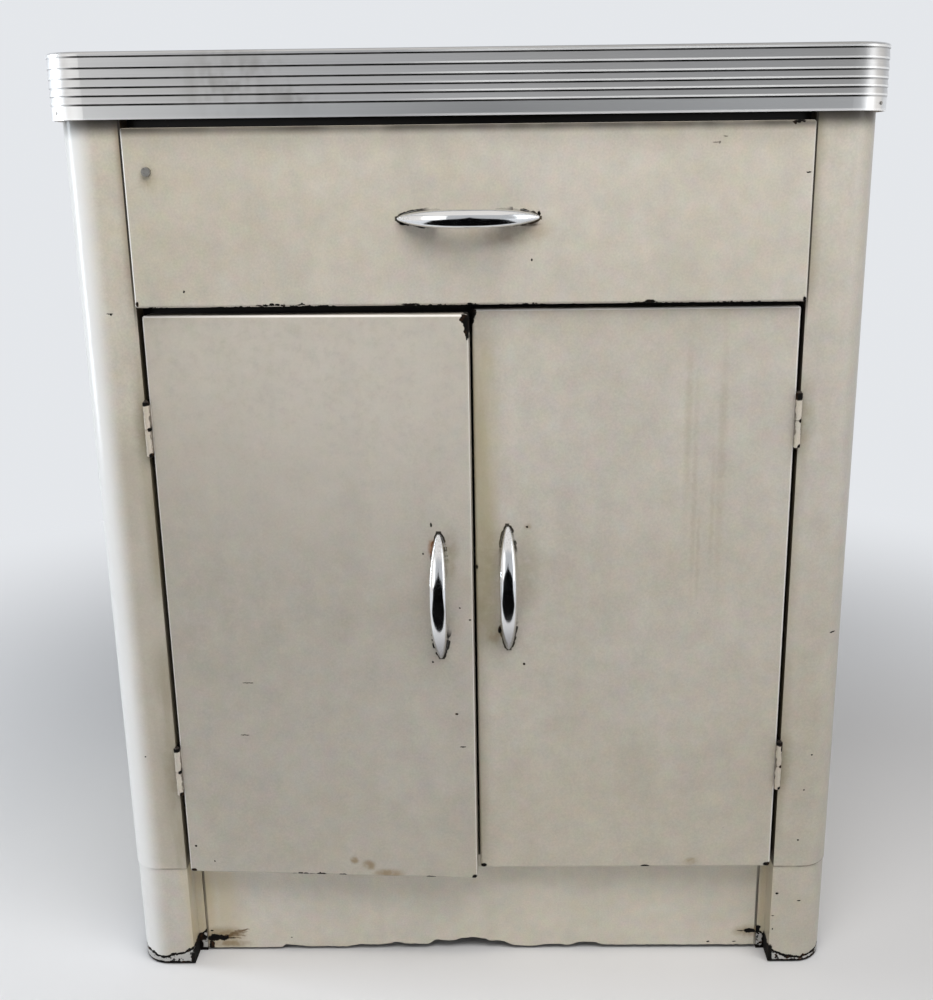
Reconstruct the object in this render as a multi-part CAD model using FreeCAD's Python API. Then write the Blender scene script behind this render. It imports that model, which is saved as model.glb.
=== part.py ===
import FreeCAD, Part
import math
import os

# A free-standing kitchen base cabinet of painted sheet steel: one wide drawer over two doors,
# rounded front corners, a shallow toe-kick and a wooden worktop edged with a ribbed metal band.
# Millimetres. X runs to the right, Y to the back, Z up. The model is drawn with Y = 0 on the front
# face of the stiles, and is moved at the end so that the origin is the bottom centre of its box.

# Overall sizes
total_height = 914.0
body_width = 724.0
body_depth = 500.0
base_height = 115.0
corner_radius = 30.0
stile_width = 58.5
sheet = 1.2
flange = 18.0
seat_fit = 0.3

# Worktop and its ribbed edge band
top_overhang = 9.0
band_height = 56.0
band_wall = 2.4
band_lip_width = 9.0
band_lip_thickness = 3.0
rim_height = 4.0
rim_round = 2.4
rib_heights = (9.4, 8.5, 7.4, 7.0, 7.2)
rib_step = 0.9
rib_lip_round = 0.5
strip_recess = 0.7
core_thickness = 19.0
batten_width = 40.0
linoleum_thickness = 2.6
body_tuck = 2.0

# Base, toe-kick and back
base_inset = 0.8
base_turn_under = 2.5
toe_offset = 2.2
toe_strip_width = 9.5
toe_gap = 0.8
toe_return = 15.0
toe_floor_gap = 3.0
rear_rail_floor_gap = 20.0
back_margin = 0.5

# Rails, floor and shelf
rail_lap = 3.0
rail_flange = 30.0
rail_overlap = 11.5
top_rail_height = 24.0
rear_rail_height = 40.0
pan_drop = 13.0
shelf_rise = 285.0
shelf_depth = 307.0
shelf_lip = 20.0
cleat_setback = 10.0

# Doors
door_depth = 19.5
door_back_gap = 1.5
door_sheet = 1.0
door_bend = 2.5
door_gap = 4.7
door_middle_gap = 3.0
liner_depth = 9.0
liner_fit = 0.15
pad_thickness = 8.0
pad_margin = 14.0
left_door_ajar = 2.9
left_door_drop = 3.0

# Hinges
leaf = 1.3
leaf_gap = 1.2
leaf_depth = 16.0
hinge_length = 51.0
knuckle_radius = 3.1
knuckle_clear = 0.3
knuckle_split = 0.6
pin_radius = 1.5
pin_running_fit = 0.05
pin_head_radius = 2.4
pin_head_height = 1.6
pin_tail = 1.2
hinge_below_door_top = 105.0
hinge_above_door_bottom = 117.0
rivet_radius = 1.6
rivet_head_radius = 2.8
rivet_head_sink = 1.0
rivet_tail_height = 1.2
rivet_setback = 6.5
rivet_pitch = 30.0

# Pulls
pull_length = 127.0
pull_width = 16.5
pull_rise = 27.0
pull_tip_rise = 3.0
pull_thickness = 11.0
pull_outline_power = 2.5
pull_taper_power = 0.6
pull_end_share = 0.985
pull_foot_length = 31.0
pull_foot_ramp = 8.0
pull_foot_share = 0.97
pull_foot_tip_gap = 0.5
pull_screw_spacing = 90.0
pull_from_free_edge = 31.0
pull_above_door_bottom = 307.0
screw_radius = 2.0
screw_head_radius = 4.0
screw_head_height = 2.5
screw_bite = 8.0
screw_hole_fit = 0.2
access_hole_radius = 7.0

# Drawer
drawer_height = 156.0
drawer_top_gap = 7.0
drawer_ajar = 7.5
drawer_pull_drop = 1.4
drawer_side_gap = 1.2
drawer_box_depth = 436.0
drawer_box_height = 112.0
drawer_box_lift = 2.5
drawer_back_drop = 6.0
drawer_hem = 8.0
runner_track = 13.5
runner_fit = 0.3
slide_rise = 17.0
slide_height = 10.0
stop_bolt_inset = 20.8
stop_bolt_drop = 37.1
bolt_head_radius = 4.0
bolt_head_height = 3.2
bolt_shank_length = 9.0
nut_radius = 4.2
nut_height = 3.2

# Door catches and bumpers
clip_sheet = 0.8
clip_gap = 9.0
clip_width = 20.0
clip_length = 22.0
clip_setback = 3.0
tongue_thickness = 3.6
tongue_width = 15.0
tongue_length = 19.0
strike_plate_height = 18.0
strike_plate_width = 24.0
strike_plate_thickness = 1.4
catch_from_free_edge = 70.0
bumper_radius = 3.4
bumper_rise = 4.2
bumper_from_middle = 150.0

# Fasteners of the carcass
frame_screw_radius = 2.0
frame_screw_head_radius = 4.0
frame_screw_head_height = 2.4
frame_screw_bite = 24.0
frame_bolt_radius = 2.5
frame_bolt_head_radius = 4.5
frame_bolt_tail = 6.0
frame_nut_radius = 4.6
frame_nut_height = 3.5
fastener_inset = 10.8
fasteners_per_side = 3
fastener_end_margin = 75.0
band_pin_radius = 0.8
band_pin_head_radius = 1.6
band_pin_head_height = 0.6
band_pin_length = 14.0

# Planes and levels that follow from the sizes
body_half = body_width / 2
opening_half = body_half - stile_width
rear_y = body_depth - sheet
rail_setback = door_depth + door_back_gap
jamb_depth = rail_setback + rail_lap
toe_recess = rail_setback + sheet + toe_offset
strip_inner = opening_half + sheet - toe_strip_width
band_bottom = total_height - band_height
body_top = band_bottom + body_tuck
core_top = total_height - band_lip_thickness
drawer_top = band_bottom - drawer_top_gap
drawer_bottom = drawer_top - drawer_height
door_top = drawer_bottom - door_gap
door_bottom = base_height
rail_low = door_top - rail_overlap
rail_high = drawer_bottom + rail_overlap
floor_level = base_height + sheet
shelf_level = base_height + shelf_rise
shelf_front = rear_y - sheet - shelf_depth
hinge_gap = 2 * leaf + leaf_gap
door_hinge_edge = opening_half - hinge_gap
door_free_edge = door_middle_gap / 2
hinge_x = opening_half - hinge_gap / 2
hinge_y = -knuckle_radius
drawer_half = opening_half - runner_track - runner_fit
drawer_floor = rail_high + drawer_box_lift
drawer_end = door_depth + drawer_box_depth
slide_level = drawer_floor + slide_rise
door_pull_x = door_free_edge + pull_from_free_edge
door_pull_level = door_bottom + pull_above_door_bottom
drawer_pull_level = (drawer_top + drawer_bottom) / 2 - drawer_pull_drop


# Shape helpers
def vec(x, y, z):
    return FreeCAD.Vector(x, y, z)


def block(x0, x1, y0, y1, z0, z1):
    return Part.makeBox(x1 - x0, y1 - y0, z1 - z0, vec(x0, y0, z0))


def join(first, *others):
    fused = first.fuse(list(others)).removeSplitter()
    return fused.Solids[0] if len(fused.Solids) == 1 else fused


def drill(shape, cutters):
    cut = shape.cut(list(cutters))
    return cut.Solids[0] if len(cut.Solids) == 1 else cut


def group(solids):
    return Part.makeCompound(list(solids))


def mirrored(shape):
    return shape.mirror(vec(0, 0, 0), vec(1, 0, 0))


def rod(radius, start, direction, length):
    return Part.makeCylinder(radius, length, start, direction)


def hex_nut(radius, bore, start, direction, height):
    corners = [vec(radius * math.cos(math.radians(60 * i)), radius * math.sin(math.radians(60 * i)), 0)
               for i in range(7)]
    nut = Part.Face(Part.makePolygon(corners)).extrude(vec(0, 0, height))
    nut = nut.cut(Part.makeCylinder(bore, height))
    nut.Placement = FreeCAD.Placement(start, FreeCAD.Rotation(vec(0, 0, 1), direction))
    return nut


def spread(first, last, count):
    step = (last - first) / (count - 1)
    return [first + step * i for i in range(count)]


def outline(start, *steps):
    """Closed face from points (inward, height); a step of two points is an arc's middle and end."""
    def place(point):
        return vec(-point[0], 0, point[1])

    edges = []
    here = start
    for step in steps + (start,):
        if isinstance(step[0], tuple):
            edges.append(Part.Arc(place(here), place(step[0]), place(step[1])).toShape())
            here = step[1]
        else:
            edges.append(Part.makeLine(place(here), place(step)))
            here = step
    return Part.Face(Part.Wire(edges))


def arc_middle(centre_in, centre_up, radius, degrees):
    angle = math.radians(degrees)
    return (centre_in + radius * math.cos(angle), centre_up + radius * math.sin(angle))


def around_corner(profile, half_width, front_y, radius, back_y, end_x):
    """Carry a profile along the right side, round the front corner and along the front to end_x."""
    at_corner = profile.translated(vec(half_width, front_y + radius, 0))
    side = at_corner.extrude(vec(0, back_y - front_y - radius, 0))
    corner = at_corner.revolve(vec(half_width - radius, front_y + radius, 0), vec(0, 0, -1), 90)
    turned = profile.copy()
    turned.rotate(vec(0, 0, 0), vec(0, 0, 1), -90)
    turned.translate(vec(half_width - radius, front_y, 0))
    front = turned.extrude(vec(end_x - half_width + radius, 0, 0))
    return join(side, corner, front)


def rounded_block(x0, x1, y0, y1, z0, z1, radius):
    """Block with its front edges and its four edges along Y rounded."""
    solid = block(x0, x1, y0, y1, z0, z1)
    chosen = []
    for edge in solid.Edges:
        first, last = (vertex.Y for vertex in edge.Vertexes)
        if first != last or first < (y0 + y1) / 2:
            chosen.append(edge)
    return solid.makeFillet(radius, chosen)


def pan(x0, x1, z0, z1, depth, wall, bend):
    """Folded tray with its closed face at Y = 0, open to the back."""
    outer = rounded_block(x0, x1, 0, depth, z0, z1, bend)
    inner = rounded_block(x0 + wall, x1 - wall, wall, depth + wall, z0 + wall, z1 - wall, bend - wall)
    return outer.cut(inner).Solids[0]


def backing_tray(x0, x1, z0, z1):
    """Inner tray that closes a front's back, its folded edge turned to the front."""
    gap = door_sheet + liner_fit
    tray = pan(x0 + gap, x1 - gap, z0 + gap, z1 - gap, liner_depth, door_sheet, door_bend)
    tray = tray.mirror(vec(0, 0, 0), vec(0, 1, 0))
    return tray.translated(vec(0, door_depth, 0))


# Side panels: wall, rounded corner and stile in one sheet, with folded flanges and the jamb
def side_panel():
    profile = outline(
        (0, base_height), (flange, base_height), (flange, base_height + sheet), (sheet, base_height + sheet),
        (sheet, body_top - sheet), (flange, body_top - sheet), (flange, body_top), (0, body_top))
    wall = around_corner(profile, body_half, 0, corner_radius, rear_y, opening_half)
    jamb = block(opening_half, opening_half + sheet, 0, jamb_depth, base_height, body_top)
    rear = block(body_half - flange, body_half, rear_y - sheet, rear_y, base_height, body_top)
    return join(wall, jamb, rear)


# Base ends: the rounded legs, whose sheet turns under at the floor and returns to the toe-kick
def base_end():
    half = body_half - base_inset
    inner = base_turn_under - sheet
    profile = outline(
        (0, base_height), (0, base_turn_under),
        (arc_middle(base_turn_under, base_turn_under, base_turn_under, 225), (base_turn_under, 0)),
        (flange, 0), (flange, sheet), (base_turn_under, sheet),
        (arc_middle(base_turn_under, base_turn_under, inner, 225), (sheet, base_turn_under)),
        (sheet, base_height - sheet), (flange, base_height - sheet), (flange, base_height))
    wall = around_corner(profile, half, base_inset, corner_radius - base_inset, rear_y, opening_half)
    return_edge = outline(
        (-base_inset, base_height), (-base_inset, base_turn_under),
        (arc_middle(-base_inset - base_turn_under, base_turn_under, base_turn_under, 315),
         (-base_inset - base_turn_under, 0)),
        (-toe_recess - sheet, 0), (-toe_recess - sheet, base_height))
    return_edge.rotate(vec(0, 0, 0), vec(0, 0, 1), 90)
    toe_side = return_edge.translated(vec(opening_half, 0, 0)).extrude(vec(sheet, 0, 0))
    strip = block(strip_inner, opening_half + sheet, toe_recess, toe_recess + sheet, 0, base_height)
    fold = block(strip_inner, strip_inner + sheet, toe_recess, toe_recess + toe_return, 0, base_height)
    rear = block(half - flange, half, rear_y - sheet, rear_y, 0, base_height)
    return join(wall, toe_side, strip, fold, rear)


def toe_kick_panel():
    half = strip_inner - toe_gap
    face = block(-half, half, toe_recess, toe_recess + sheet, toe_floor_gap, floor_level)
    top = block(-half, half, toe_recess, toe_recess + flange, floor_level - sheet, floor_level)
    ends = [block(side * half - (sheet if side > 0 else 0), side * half + (sheet if side < 0 else 0),
                  toe_recess, toe_recess + toe_return, toe_floor_gap, floor_level) for side in (-1, 1)]
    return join(face, top, *ends)


def rear_base_rail():
    half = body_half - base_inset
    return block(-half, half, rear_y, body_depth, rear_rail_floor_gap, base_height - back_margin)


def floor_pan():
    half = body_half - sheet - seat_fit
    mouth = opening_half - seat_fit
    neck = max(jamb_depth, corner_radius) + seat_fit
    plate = block(-half, half, neck, rear_y - sheet, floor_level, floor_level + sheet)
    front = block(-mouth, mouth, rail_setback, neck, floor_level, floor_level + sheet)
    drop = block(-mouth, mouth, rail_setback, rail_setback + sheet, floor_level - pan_drop, floor_level)
    return join(plate, front, drop)


def back_panel():
    half = body_half - back_margin
    return block(-half, half, rear_y, body_depth, base_height, body_top)


# Rails that tie the stiles together behind the gaps
def top_front_rail():
    back = rail_setback + rail_flange
    web = block(-opening_half, opening_half, rail_setback, rail_setback + sheet, body_top - top_rail_height, body_top)
    ledge = block(-opening_half, opening_half, rail_setback, back, body_top - sheet, body_top)
    return join(web, ledge)


def top_rear_rail():
    half = body_half - flange - seat_fit
    web = block(-half, half, rear_y - sheet, rear_y, body_top - rear_rail_height, body_top)
    ledge = block(-half, half, rear_y - rail_flange, rear_y, body_top - sheet, body_top)
    return join(web, ledge)


def drawer_rail():
    back = rail_setback + rail_flange
    web = block(-opening_half, opening_half, rail_setback, rail_setback + sheet, rail_low, rail_high)
    lower = block(-opening_half, opening_half, rail_setback, back, rail_low, rail_low + sheet)
    upper = block(-opening_half, opening_half, rail_setback, back, rail_high - sheet, rail_high)
    return join(web, lower, upper)


def drawer_runner():
    low = slide_level - runner_fit - sheet
    high = slide_level + slide_height + runner_fit + sheet
    inner = opening_half - runner_track
    web = block(opening_half, opening_half + sheet, jamb_depth, rear_y, low, high)
    track = block(inner, opening_half, jamb_depth, rear_y, low, low + sheet)
    guide = block(inner, opening_half, jamb_depth, rear_y, high - sheet, high)
    return join(web, track, guide)


def shelf():
    half = body_half - sheet - seat_fit
    plate = block(-half, half, shelf_front, rear_y - sheet, shelf_level, shelf_level + sheet)
    lip = block(-half, half, shelf_front, shelf_front + sheet, shelf_level - shelf_lip, shelf_level)
    return join(plate, lip)


def shelf_cleats():
    wall_x = body_half - sheet
    front = shelf_front + cleat_setback
    upright = block(wall_x - sheet, wall_x, front, rear_y - sheet, shelf_level - flange, shelf_level)
    ledge = block(wall_x - flange, wall_x, front, rear_y - sheet, shelf_level - sheet, shelf_level)
    cleat = join(upright, ledge)
    return group([cleat, mirrored(cleat)])


# Worktop: wooden core on battens, linoleum sheet, ribbed band round the front and the sides
def top_plate(inset, low, high):
    half = body_half + top_overhang - inset
    front = inset - top_overhang
    plate = block(-half, half, front, body_depth, low, high)
    corners = [edge for edge in plate.Edges
               if edge.Vertexes[0].Z != edge.Vertexes[1].Z and edge.Vertexes[0].Y < body_depth / 2]
    return plate.makeFillet(corner_radius + top_overhang - inset, corners)


def countertop_battens():
    core_low = core_top - core_thickness
    plate = top_plate(band_wall, body_top, core_low)
    half = body_half + top_overhang - band_wall
    front_line = band_wall - top_overhang + batten_width
    rear_line = body_depth - batten_width
    front = plate.common(block(-half, half, -top_overhang, front_line, body_top, core_low))
    rear = plate.common(block(-half, half, rear_line, body_depth, body_top, core_low))
    side = block(half - batten_width, half, front_line, rear_line, body_top, core_low)
    return [front.Solids[0], rear.Solids[0], side, mirrored(side)]


def band_profile():
    lip = rib_lip_round
    rim_low = total_height - rim_height
    steps = [(rim_round, total_height),
             (arc_middle(rim_round, total_height - rim_round, rim_round, 135), (0, total_height - rim_round)),
             (0, rim_low), (rib_step, rim_low)]
    low = rim_low
    for count, height in enumerate(rib_heights, start=1):
        low -= height
        below = rib_step if count < len(rib_heights) else strip_recess
        steps += [(0, low + lip), (arc_middle(lip, low + lip, lip, 225), (lip, low)), (below, low)]
    steps += [(strip_recess, band_bottom), (band_wall, band_bottom), (band_wall, core_top),
              (band_lip_width, core_top)]
    return outline((band_lip_width, total_height), *steps)


def edge_band():
    half = body_half + top_overhang
    right = around_corner(band_profile(), half, -top_overhang, corner_radius + top_overhang, body_depth, 0)
    return join(right, mirrored(right))


def band_pins():
    """Small pins through the flat lower strip: one on each rounded corner and a row on each side."""
    level = (band_bottom + total_height - rim_height - sum(rib_heights)) / 2
    radius = corner_radius + top_overhang
    centre = vec(body_half - corner_radius, corner_radius, level)
    outward = vec(math.sqrt(0.5), -math.sqrt(0.5), 0)
    seats = [(centre + outward * (radius - strip_recess), outward)]
    for y in spread(corner_radius + fastener_end_margin, body_depth - fastener_end_margin, fasteners_per_side):
        seats.append((vec(body_half + top_overhang - strip_recess, y, level), vec(1, 0, 0)))
    pins = []
    for seat, direction in seats:
        head = rod(band_pin_head_radius, seat, direction, band_pin_head_height)
        shank = rod(band_pin_radius, seat - direction * band_pin_length, direction, band_pin_length)
        pins.append(join(head, shank))
    return pins + [mirrored(pin) for pin in pins]


# Fasteners of the carcass, in a row along each side
def fastener_row():
    return spread(corner_radius + fastener_end_margin, rear_y - fastener_end_margin, fasteners_per_side)


def countertop_screws():
    under = body_top - sheet
    screws = []
    for y in fastener_row():
        x = body_half - fastener_inset
        head = rod(frame_screw_head_radius, vec(x, y, under - frame_screw_head_height), vec(0, 0, 1),
                   frame_screw_head_height)
        shank = rod(frame_screw_radius, vec(x, y, under), vec(0, 0, 1), sheet + frame_screw_bite)
        screws.append(join(head, shank))
    return screws + [mirrored(screw) for screw in screws]


def base_bolts():
    seat = floor_level + sheet
    under = base_height - sheet
    pieces = []
    for y in fastener_row():
        x = body_half - fastener_inset
        head = rod(frame_bolt_head_radius, vec(x, y, seat), vec(0, 0, 1), frame_screw_head_height)
        shank_low = under - frame_bolt_tail
        shank = rod(frame_bolt_radius, vec(x, y, shank_low), vec(0, 0, 1), seat - shank_low)
        nut = hex_nut(frame_nut_radius, frame_bolt_radius, vec(x, y, under - frame_nut_height), vec(0, 0, 1),
                      frame_nut_height)
        pieces += [join(head, shank), nut]
    return pieces + [mirrored(piece) for piece in pieces]


# Hinges: two knuckles on a pin in front of the gap, with one leaf on the jamb and one on the door
def hinge_levels(drop):
    return {"upper": door_top - hinge_below_door_top - drop, "lower": door_bottom + hinge_above_door_bottom - drop}


def hinge_leaf(level, on_door):
    low, high = level - hinge_length / 2, level + hinge_length / 2
    split_low, split_high = level - knuckle_split / 2, level + knuckle_split / 2
    near = door_hinge_edge if on_door else opening_half - leaf
    knuckle_low, knuckle_high = (split_high, high) if on_door else (low, split_low)
    plate = block(near, near + leaf, knuckle_clear, leaf_depth, low, high)
    neck = block(near, near + leaf, hinge_y, knuckle_clear, knuckle_low, knuckle_high)
    centre = vec(hinge_x, hinge_y, knuckle_low)
    knuckle = rod(knuckle_radius, centre, vec(0, 0, 1), knuckle_high - knuckle_low)
    bore = rod(pin_radius + (pin_running_fit if on_door else 0), vec(hinge_x, hinge_y, low), vec(0, 0, 1),
               hinge_length)
    return drill(join(plate, neck, knuckle), [bore])


def hinge_pin(level):
    low = level - hinge_length / 2 - pin_tail
    seat = level + hinge_length / 2 + knuckle_clear
    shaft = rod(pin_radius, vec(hinge_x, hinge_y, low), vec(0, 0, 1), seat - low)
    head = Part.makeCone(pin_head_radius, pin_radius, pin_head_height, vec(hinge_x, hinge_y, seat))
    return join(shaft, head)


def hinge_rivets(level, on_door):
    """Countersunk rivets, with the head in the leaf and the tail behind the sheet."""
    surface = door_hinge_edge + leaf if on_door else opening_half - leaf
    inward = vec(-1, 0, 0) if on_door else vec(1, 0, 0)
    through = leaf + (door_sheet if on_door else sheet)
    rivets = []
    for z in (level - rivet_pitch / 2, level + rivet_pitch / 2):
        start = vec(surface, rivet_setback, z)
        head = Part.makeCone(rivet_head_radius, rivet_radius, rivet_head_sink, start, inward)
        shank = rod(rivet_radius, start, inward, through)
        tail = rod(rivet_head_radius, start + inward * through, inward, rivet_tail_height)
        rivets.append(join(head, shank, tail))
    return rivets


# Pulls: a bow with pointed ends on two feet, lying along X and standing out from Y = 0 to the front
def pull_width_at(share):
    return pull_width * (1 - abs(share) ** pull_outline_power) ** pull_taper_power


def pull_front_at(share):
    return pull_tip_rise + (pull_rise - pull_tip_rise) * (1 - share ** 2)


def pull_thickness_at(share):
    return pull_thickness * math.sqrt(1 - share ** 2)


def pull_middle_at(share):
    return pull_front_at(share) - pull_thickness_at(share) / 2


def pull_foot(half):
    """Foot under one end: it widens from the tip and ramps up into the bow on its inner side."""
    foot_end = half * pull_end_share - pull_foot_tip_gap
    foot_start = foot_end - pull_foot_length - pull_foot_ramp
    inner = [foot_start + pull_foot_ramp * share for share in (0.0, 0.15, 0.4, 0.7, 1.0)]
    outer = spread(inner[-1], foot_end, 6)[1:]
    wires = []
    for place in inner + outer:
        share = place / half
        top = pull_middle_at(share)
        climb = min(1.0, (place - foot_start) / pull_foot_ramp)
        low = (top - pull_thickness_at(share) / 4) * (1 - math.sqrt(1 - (1 - climb) ** 2))
        reach = pull_width_at(share) * pull_foot_share / 2
        corners = [vec(place, -low, -reach), vec(place, -low, reach), vec(place, -top, reach),
                   vec(place, -top, -reach)]
        wires.append(Part.makePolygon(corners + corners[:1]))
    return Part.makeLoft(wires, True, True)


def pull():
    half = pull_length / 2
    one_end = (0.4, 0.65, 0.82, 0.93, pull_end_share)
    shares = [-share for share in reversed(one_end)] + [0.0] + list(one_end)
    sections = []
    for share in shares:
        centre = vec(share * half, -pull_middle_at(share), 0)
        side = centre + vec(0, 0, pull_width_at(share) / 2)
        crest = centre - vec(0, pull_thickness_at(share) / 2, 0)
        sections.append(Part.Wire(Part.Ellipse(side, crest, centre).toShape()))
    bow = Part.makeLoft(sections, True, False)
    foot = pull_foot(half)
    body = join(bow, foot, mirrored(foot))
    holes = [rod(screw_radius, vec(side * pull_screw_spacing / 2, 0, 0), vec(0, -1, 0), screw_bite)
             for side in (-1, 1)]
    return drill(body, holes)


def pull_screws():
    screws = []
    for side in (-1, 1):
        x = side * pull_screw_spacing / 2
        head = rod(screw_head_radius, vec(x, door_sheet, 0), vec(0, 1, 0), screw_head_height)
        shank = rod(screw_radius, vec(x, door_sheet, 0), vec(0, -1, 0), door_sheet + screw_bite)
        screws.append(join(head, shank))
    return screws


def pull_holes(radius):
    return [rod(radius, vec(side * pull_screw_spacing / 2, -door_depth, 0), vec(0, 1, 0), 3 * door_depth)
            for side in (-1, 1)]


def set_pull(shape, x, z, upright):
    placed = shape.copy()
    if upright:
        placed.rotate(vec(0, 0, 0), vec(0, 1, 0), 90)
    placed.translate(vec(x, 0, z))
    return placed


# Doors, drawn closed on the right; the left one is the mirror image, set lower and left ajar
def door(drop):
    low, high = door_bottom - drop, door_top - drop
    pull_level = door_pull_level - drop
    skin = pan(door_free_edge, door_hinge_edge, low, high, door_depth, door_sheet, door_bend)
    liner = backing_tray(door_free_edge, door_hinge_edge, low, high)
    pad = block(door_free_edge + pad_margin, door_hinge_edge - pad_margin, door_sheet,
                door_sheet + pad_thickness, low + pad_margin, high - pad_margin)
    rivets = []
    leaves = {}
    for name, level in hinge_levels(drop).items():
        pair = hinge_rivets(level, True)
        rivets += pair
        leaves[name + "_door_leaf"] = drill(hinge_leaf(level, True), pair)

    def bored(shape, radius):
        return drill(shape, [set_pull(hole, door_pull_x, pull_level, True) for hole in pull_holes(radius)])

    pieces = {
        "door_skin": drill(bored(skin, screw_radius + screw_hole_fit), rivets),
        "door_liner": bored(liner, access_hole_radius),
        "door_pad": bored(pad, access_hole_radius),
        "hinge_rivets": group(rivets),
        "door_pull": set_pull(pull(), door_pull_x, pull_level, True),
        "pull_screws": group(set_pull(screw, door_pull_x, pull_level, True) for screw in pull_screws()),
        "catch_strike": catch_strike(),
    }
    pieces.update(leaves)
    return pieces


# Catches: a spring clip under the drawer rail grips a tongue on the door's inner face
catch_x = door_free_edge + catch_from_free_edge
catch_level = rail_low - clip_sheet - clip_gap / 2


def catch_strike():
    plate_top = catch_level + tongue_thickness / 2
    plate = block(catch_x - strike_plate_width / 2, catch_x + strike_plate_width / 2,
                  door_depth, door_depth + strike_plate_thickness,
                  plate_top - strike_plate_height, plate_top)
    tongue = block(catch_x - tongue_width / 2, catch_x + tongue_width / 2,
                   door_depth, door_depth + tongue_length,
                   catch_level - tongue_thickness / 2, catch_level + tongue_thickness / 2)
    return join(plate, tongue)


def catch_clip():
    x0, x1 = catch_x - clip_width / 2, catch_x + clip_width / 2
    y0 = rail_setback + clip_setback
    y1 = y0 + clip_length
    low = rail_low - 2 * clip_sheet - clip_gap
    upper = block(x0, x1, y0, y1, rail_low - clip_sheet, rail_low)
    lower = block(x0, x1, y0, y1, low, low + clip_sheet)
    bend = block(x0, x1, y1 - clip_sheet, y1, low, rail_low)
    return join(upper, lower, bend)


def door_bumper():
    thickness = door_back_gap - seat_fit
    seat = vec(bumper_from_middle, rail_setback, rail_low + bumper_rise)
    return rod(bumper_radius, seat, vec(0, -1, 0), thickness)


# Drawer: a steel box on two slides behind a folded front
def drawer():
    half = opening_half - drawer_side_gap
    box_top = drawer_floor + drawer_box_height
    inner = drawer_half - sheet
    front = pan(-half, half, drawer_bottom, drawer_top, door_depth, door_sheet, door_bend)
    liner = backing_tray(-half, half, drawer_bottom, drawer_top)
    wall = block(inner, drawer_half, door_depth, drawer_end, drawer_floor, box_top)
    hem = block(drawer_half - drawer_hem, drawer_half, door_depth, drawer_end, box_top - sheet, box_top)
    tab = block(drawer_half - flange, drawer_half, door_depth, door_depth + sheet, drawer_floor + sheet, box_top)
    side = join(wall, hem, tab)
    slide = block(drawer_half, opening_half - runner_fit, jamb_depth + runner_fit, drawer_end, slide_level,
                  slide_level + slide_height)
    bottom = block(-inner, inner, door_depth, drawer_end - sheet, drawer_floor, drawer_floor + sheet)
    back = block(-inner, inner, drawer_end - sheet, drawer_end, drawer_floor, box_top - drawer_back_drop)
    bolt_seat = vec(stop_bolt_inset - half, 0, drawer_top - stop_bolt_drop)
    head = rod(bolt_head_radius, bolt_seat, vec(0, -1, 0), bolt_head_height)
    shank = rod(screw_radius, bolt_seat, vec(0, 1, 0), bolt_shank_length)
    nut = hex_nut(nut_radius, screw_radius, bolt_seat + vec(0, door_sheet, 0), vec(0, 1, 0), nut_height)
    bolt_hole = rod(screw_radius + screw_hole_fit, bolt_seat, vec(0, 1, 0), door_sheet)

    def holes(radius):
        return [set_pull(hole, 0, drawer_pull_level, False) for hole in pull_holes(radius)]

    return {
        "drawer_front_skin": drill(front, holes(screw_radius + screw_hole_fit) + [bolt_hole]),
        "drawer_front_liner": drill(liner, holes(access_hole_radius)),
        "drawer_left_side": mirrored(side),
        "drawer_right_side": side,
        "drawer_back": back,
        "drawer_bottom": bottom,
        "drawer_slides": group([slide, mirrored(slide)]),
        "drawer_pull": set_pull(pull(), 0, drawer_pull_level, False),
        "drawer_pull_screws": group(set_pull(screw, 0, drawer_pull_level, False) for screw in pull_screws()),
        "drawer_stop_bolt": group([join(head, shank), nut]),
    }


# Assembly: every piece by name
parts = {}
frame_rivets = {}
for side_name, drop in (("right", 0.0), ("left", left_door_drop)):
    pins = []
    rivets = []
    for name, level in hinge_levels(drop).items():
        pair = hinge_rivets(level, False)
        leaf_shape = drill(hinge_leaf(level, False), pair)
        if side_name == "left":
            pair = [mirrored(rivet) for rivet in pair]
            leaf_shape = mirrored(leaf_shape)
        rivets += pair
        pins.append(hinge_pin(level) if side_name == "right" else mirrored(hinge_pin(level)))
        parts[side_name + "_" + name + "_frame_leaf"] = leaf_shape
    parts[side_name + "_hinge_pins"] = group(pins)
    frame_rivets[side_name] = rivets
parts["hinge_frame_rivets"] = group(frame_rivets["left"] + frame_rivets["right"])

top_screws = countertop_screws()
bolts = base_bolts()
pins = band_pins()
battens = [drill(batten, top_screws + pins) for batten in countertop_battens()]
panel_cutters = top_screws + bolts
parts["right_side_panel"] = drill(side_panel(), panel_cutters + frame_rivets["right"])
parts["left_side_panel"] = drill(mirrored(side_panel()), panel_cutters + frame_rivets["left"])
parts["right_base_end"] = drill(base_end(), bolts)
parts["left_base_end"] = drill(mirrored(base_end()), bolts)
parts["toe_kick_panel"] = toe_kick_panel()
parts["rear_base_rail"] = rear_base_rail()
parts["floor_pan"] = drill(floor_pan(), bolts)
parts["back_panel"] = back_panel()
parts["top_front_rail"] = top_front_rail()
parts["top_rear_rail"] = top_rear_rail()
parts["drawer_rail"] = drawer_rail()
parts["right_drawer_runner"] = drawer_runner()
parts["left_drawer_runner"] = mirrored(drawer_runner())
parts["shelf"] = shelf()
parts["shelf_cleats"] = shelf_cleats()
parts["countertop_core"] = top_plate(band_wall, core_top - core_thickness, core_top)
parts["countertop_battens"] = group(battens)
parts["countertop_linoleum"] = top_plate(band_lip_width, core_top, core_top + linoleum_thickness)
parts["edge_band"] = drill(edge_band(), pins)
parts["edge_band_pins"] = group(pins)
parts["countertop_screws"] = group(top_screws)
parts["base_bolts"] = group(bolts)
parts["catch_clips"] = group([catch_clip(), mirrored(catch_clip())])
parts["door_bumpers"] = group([door_bumper(), mirrored(door_bumper())])

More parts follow.
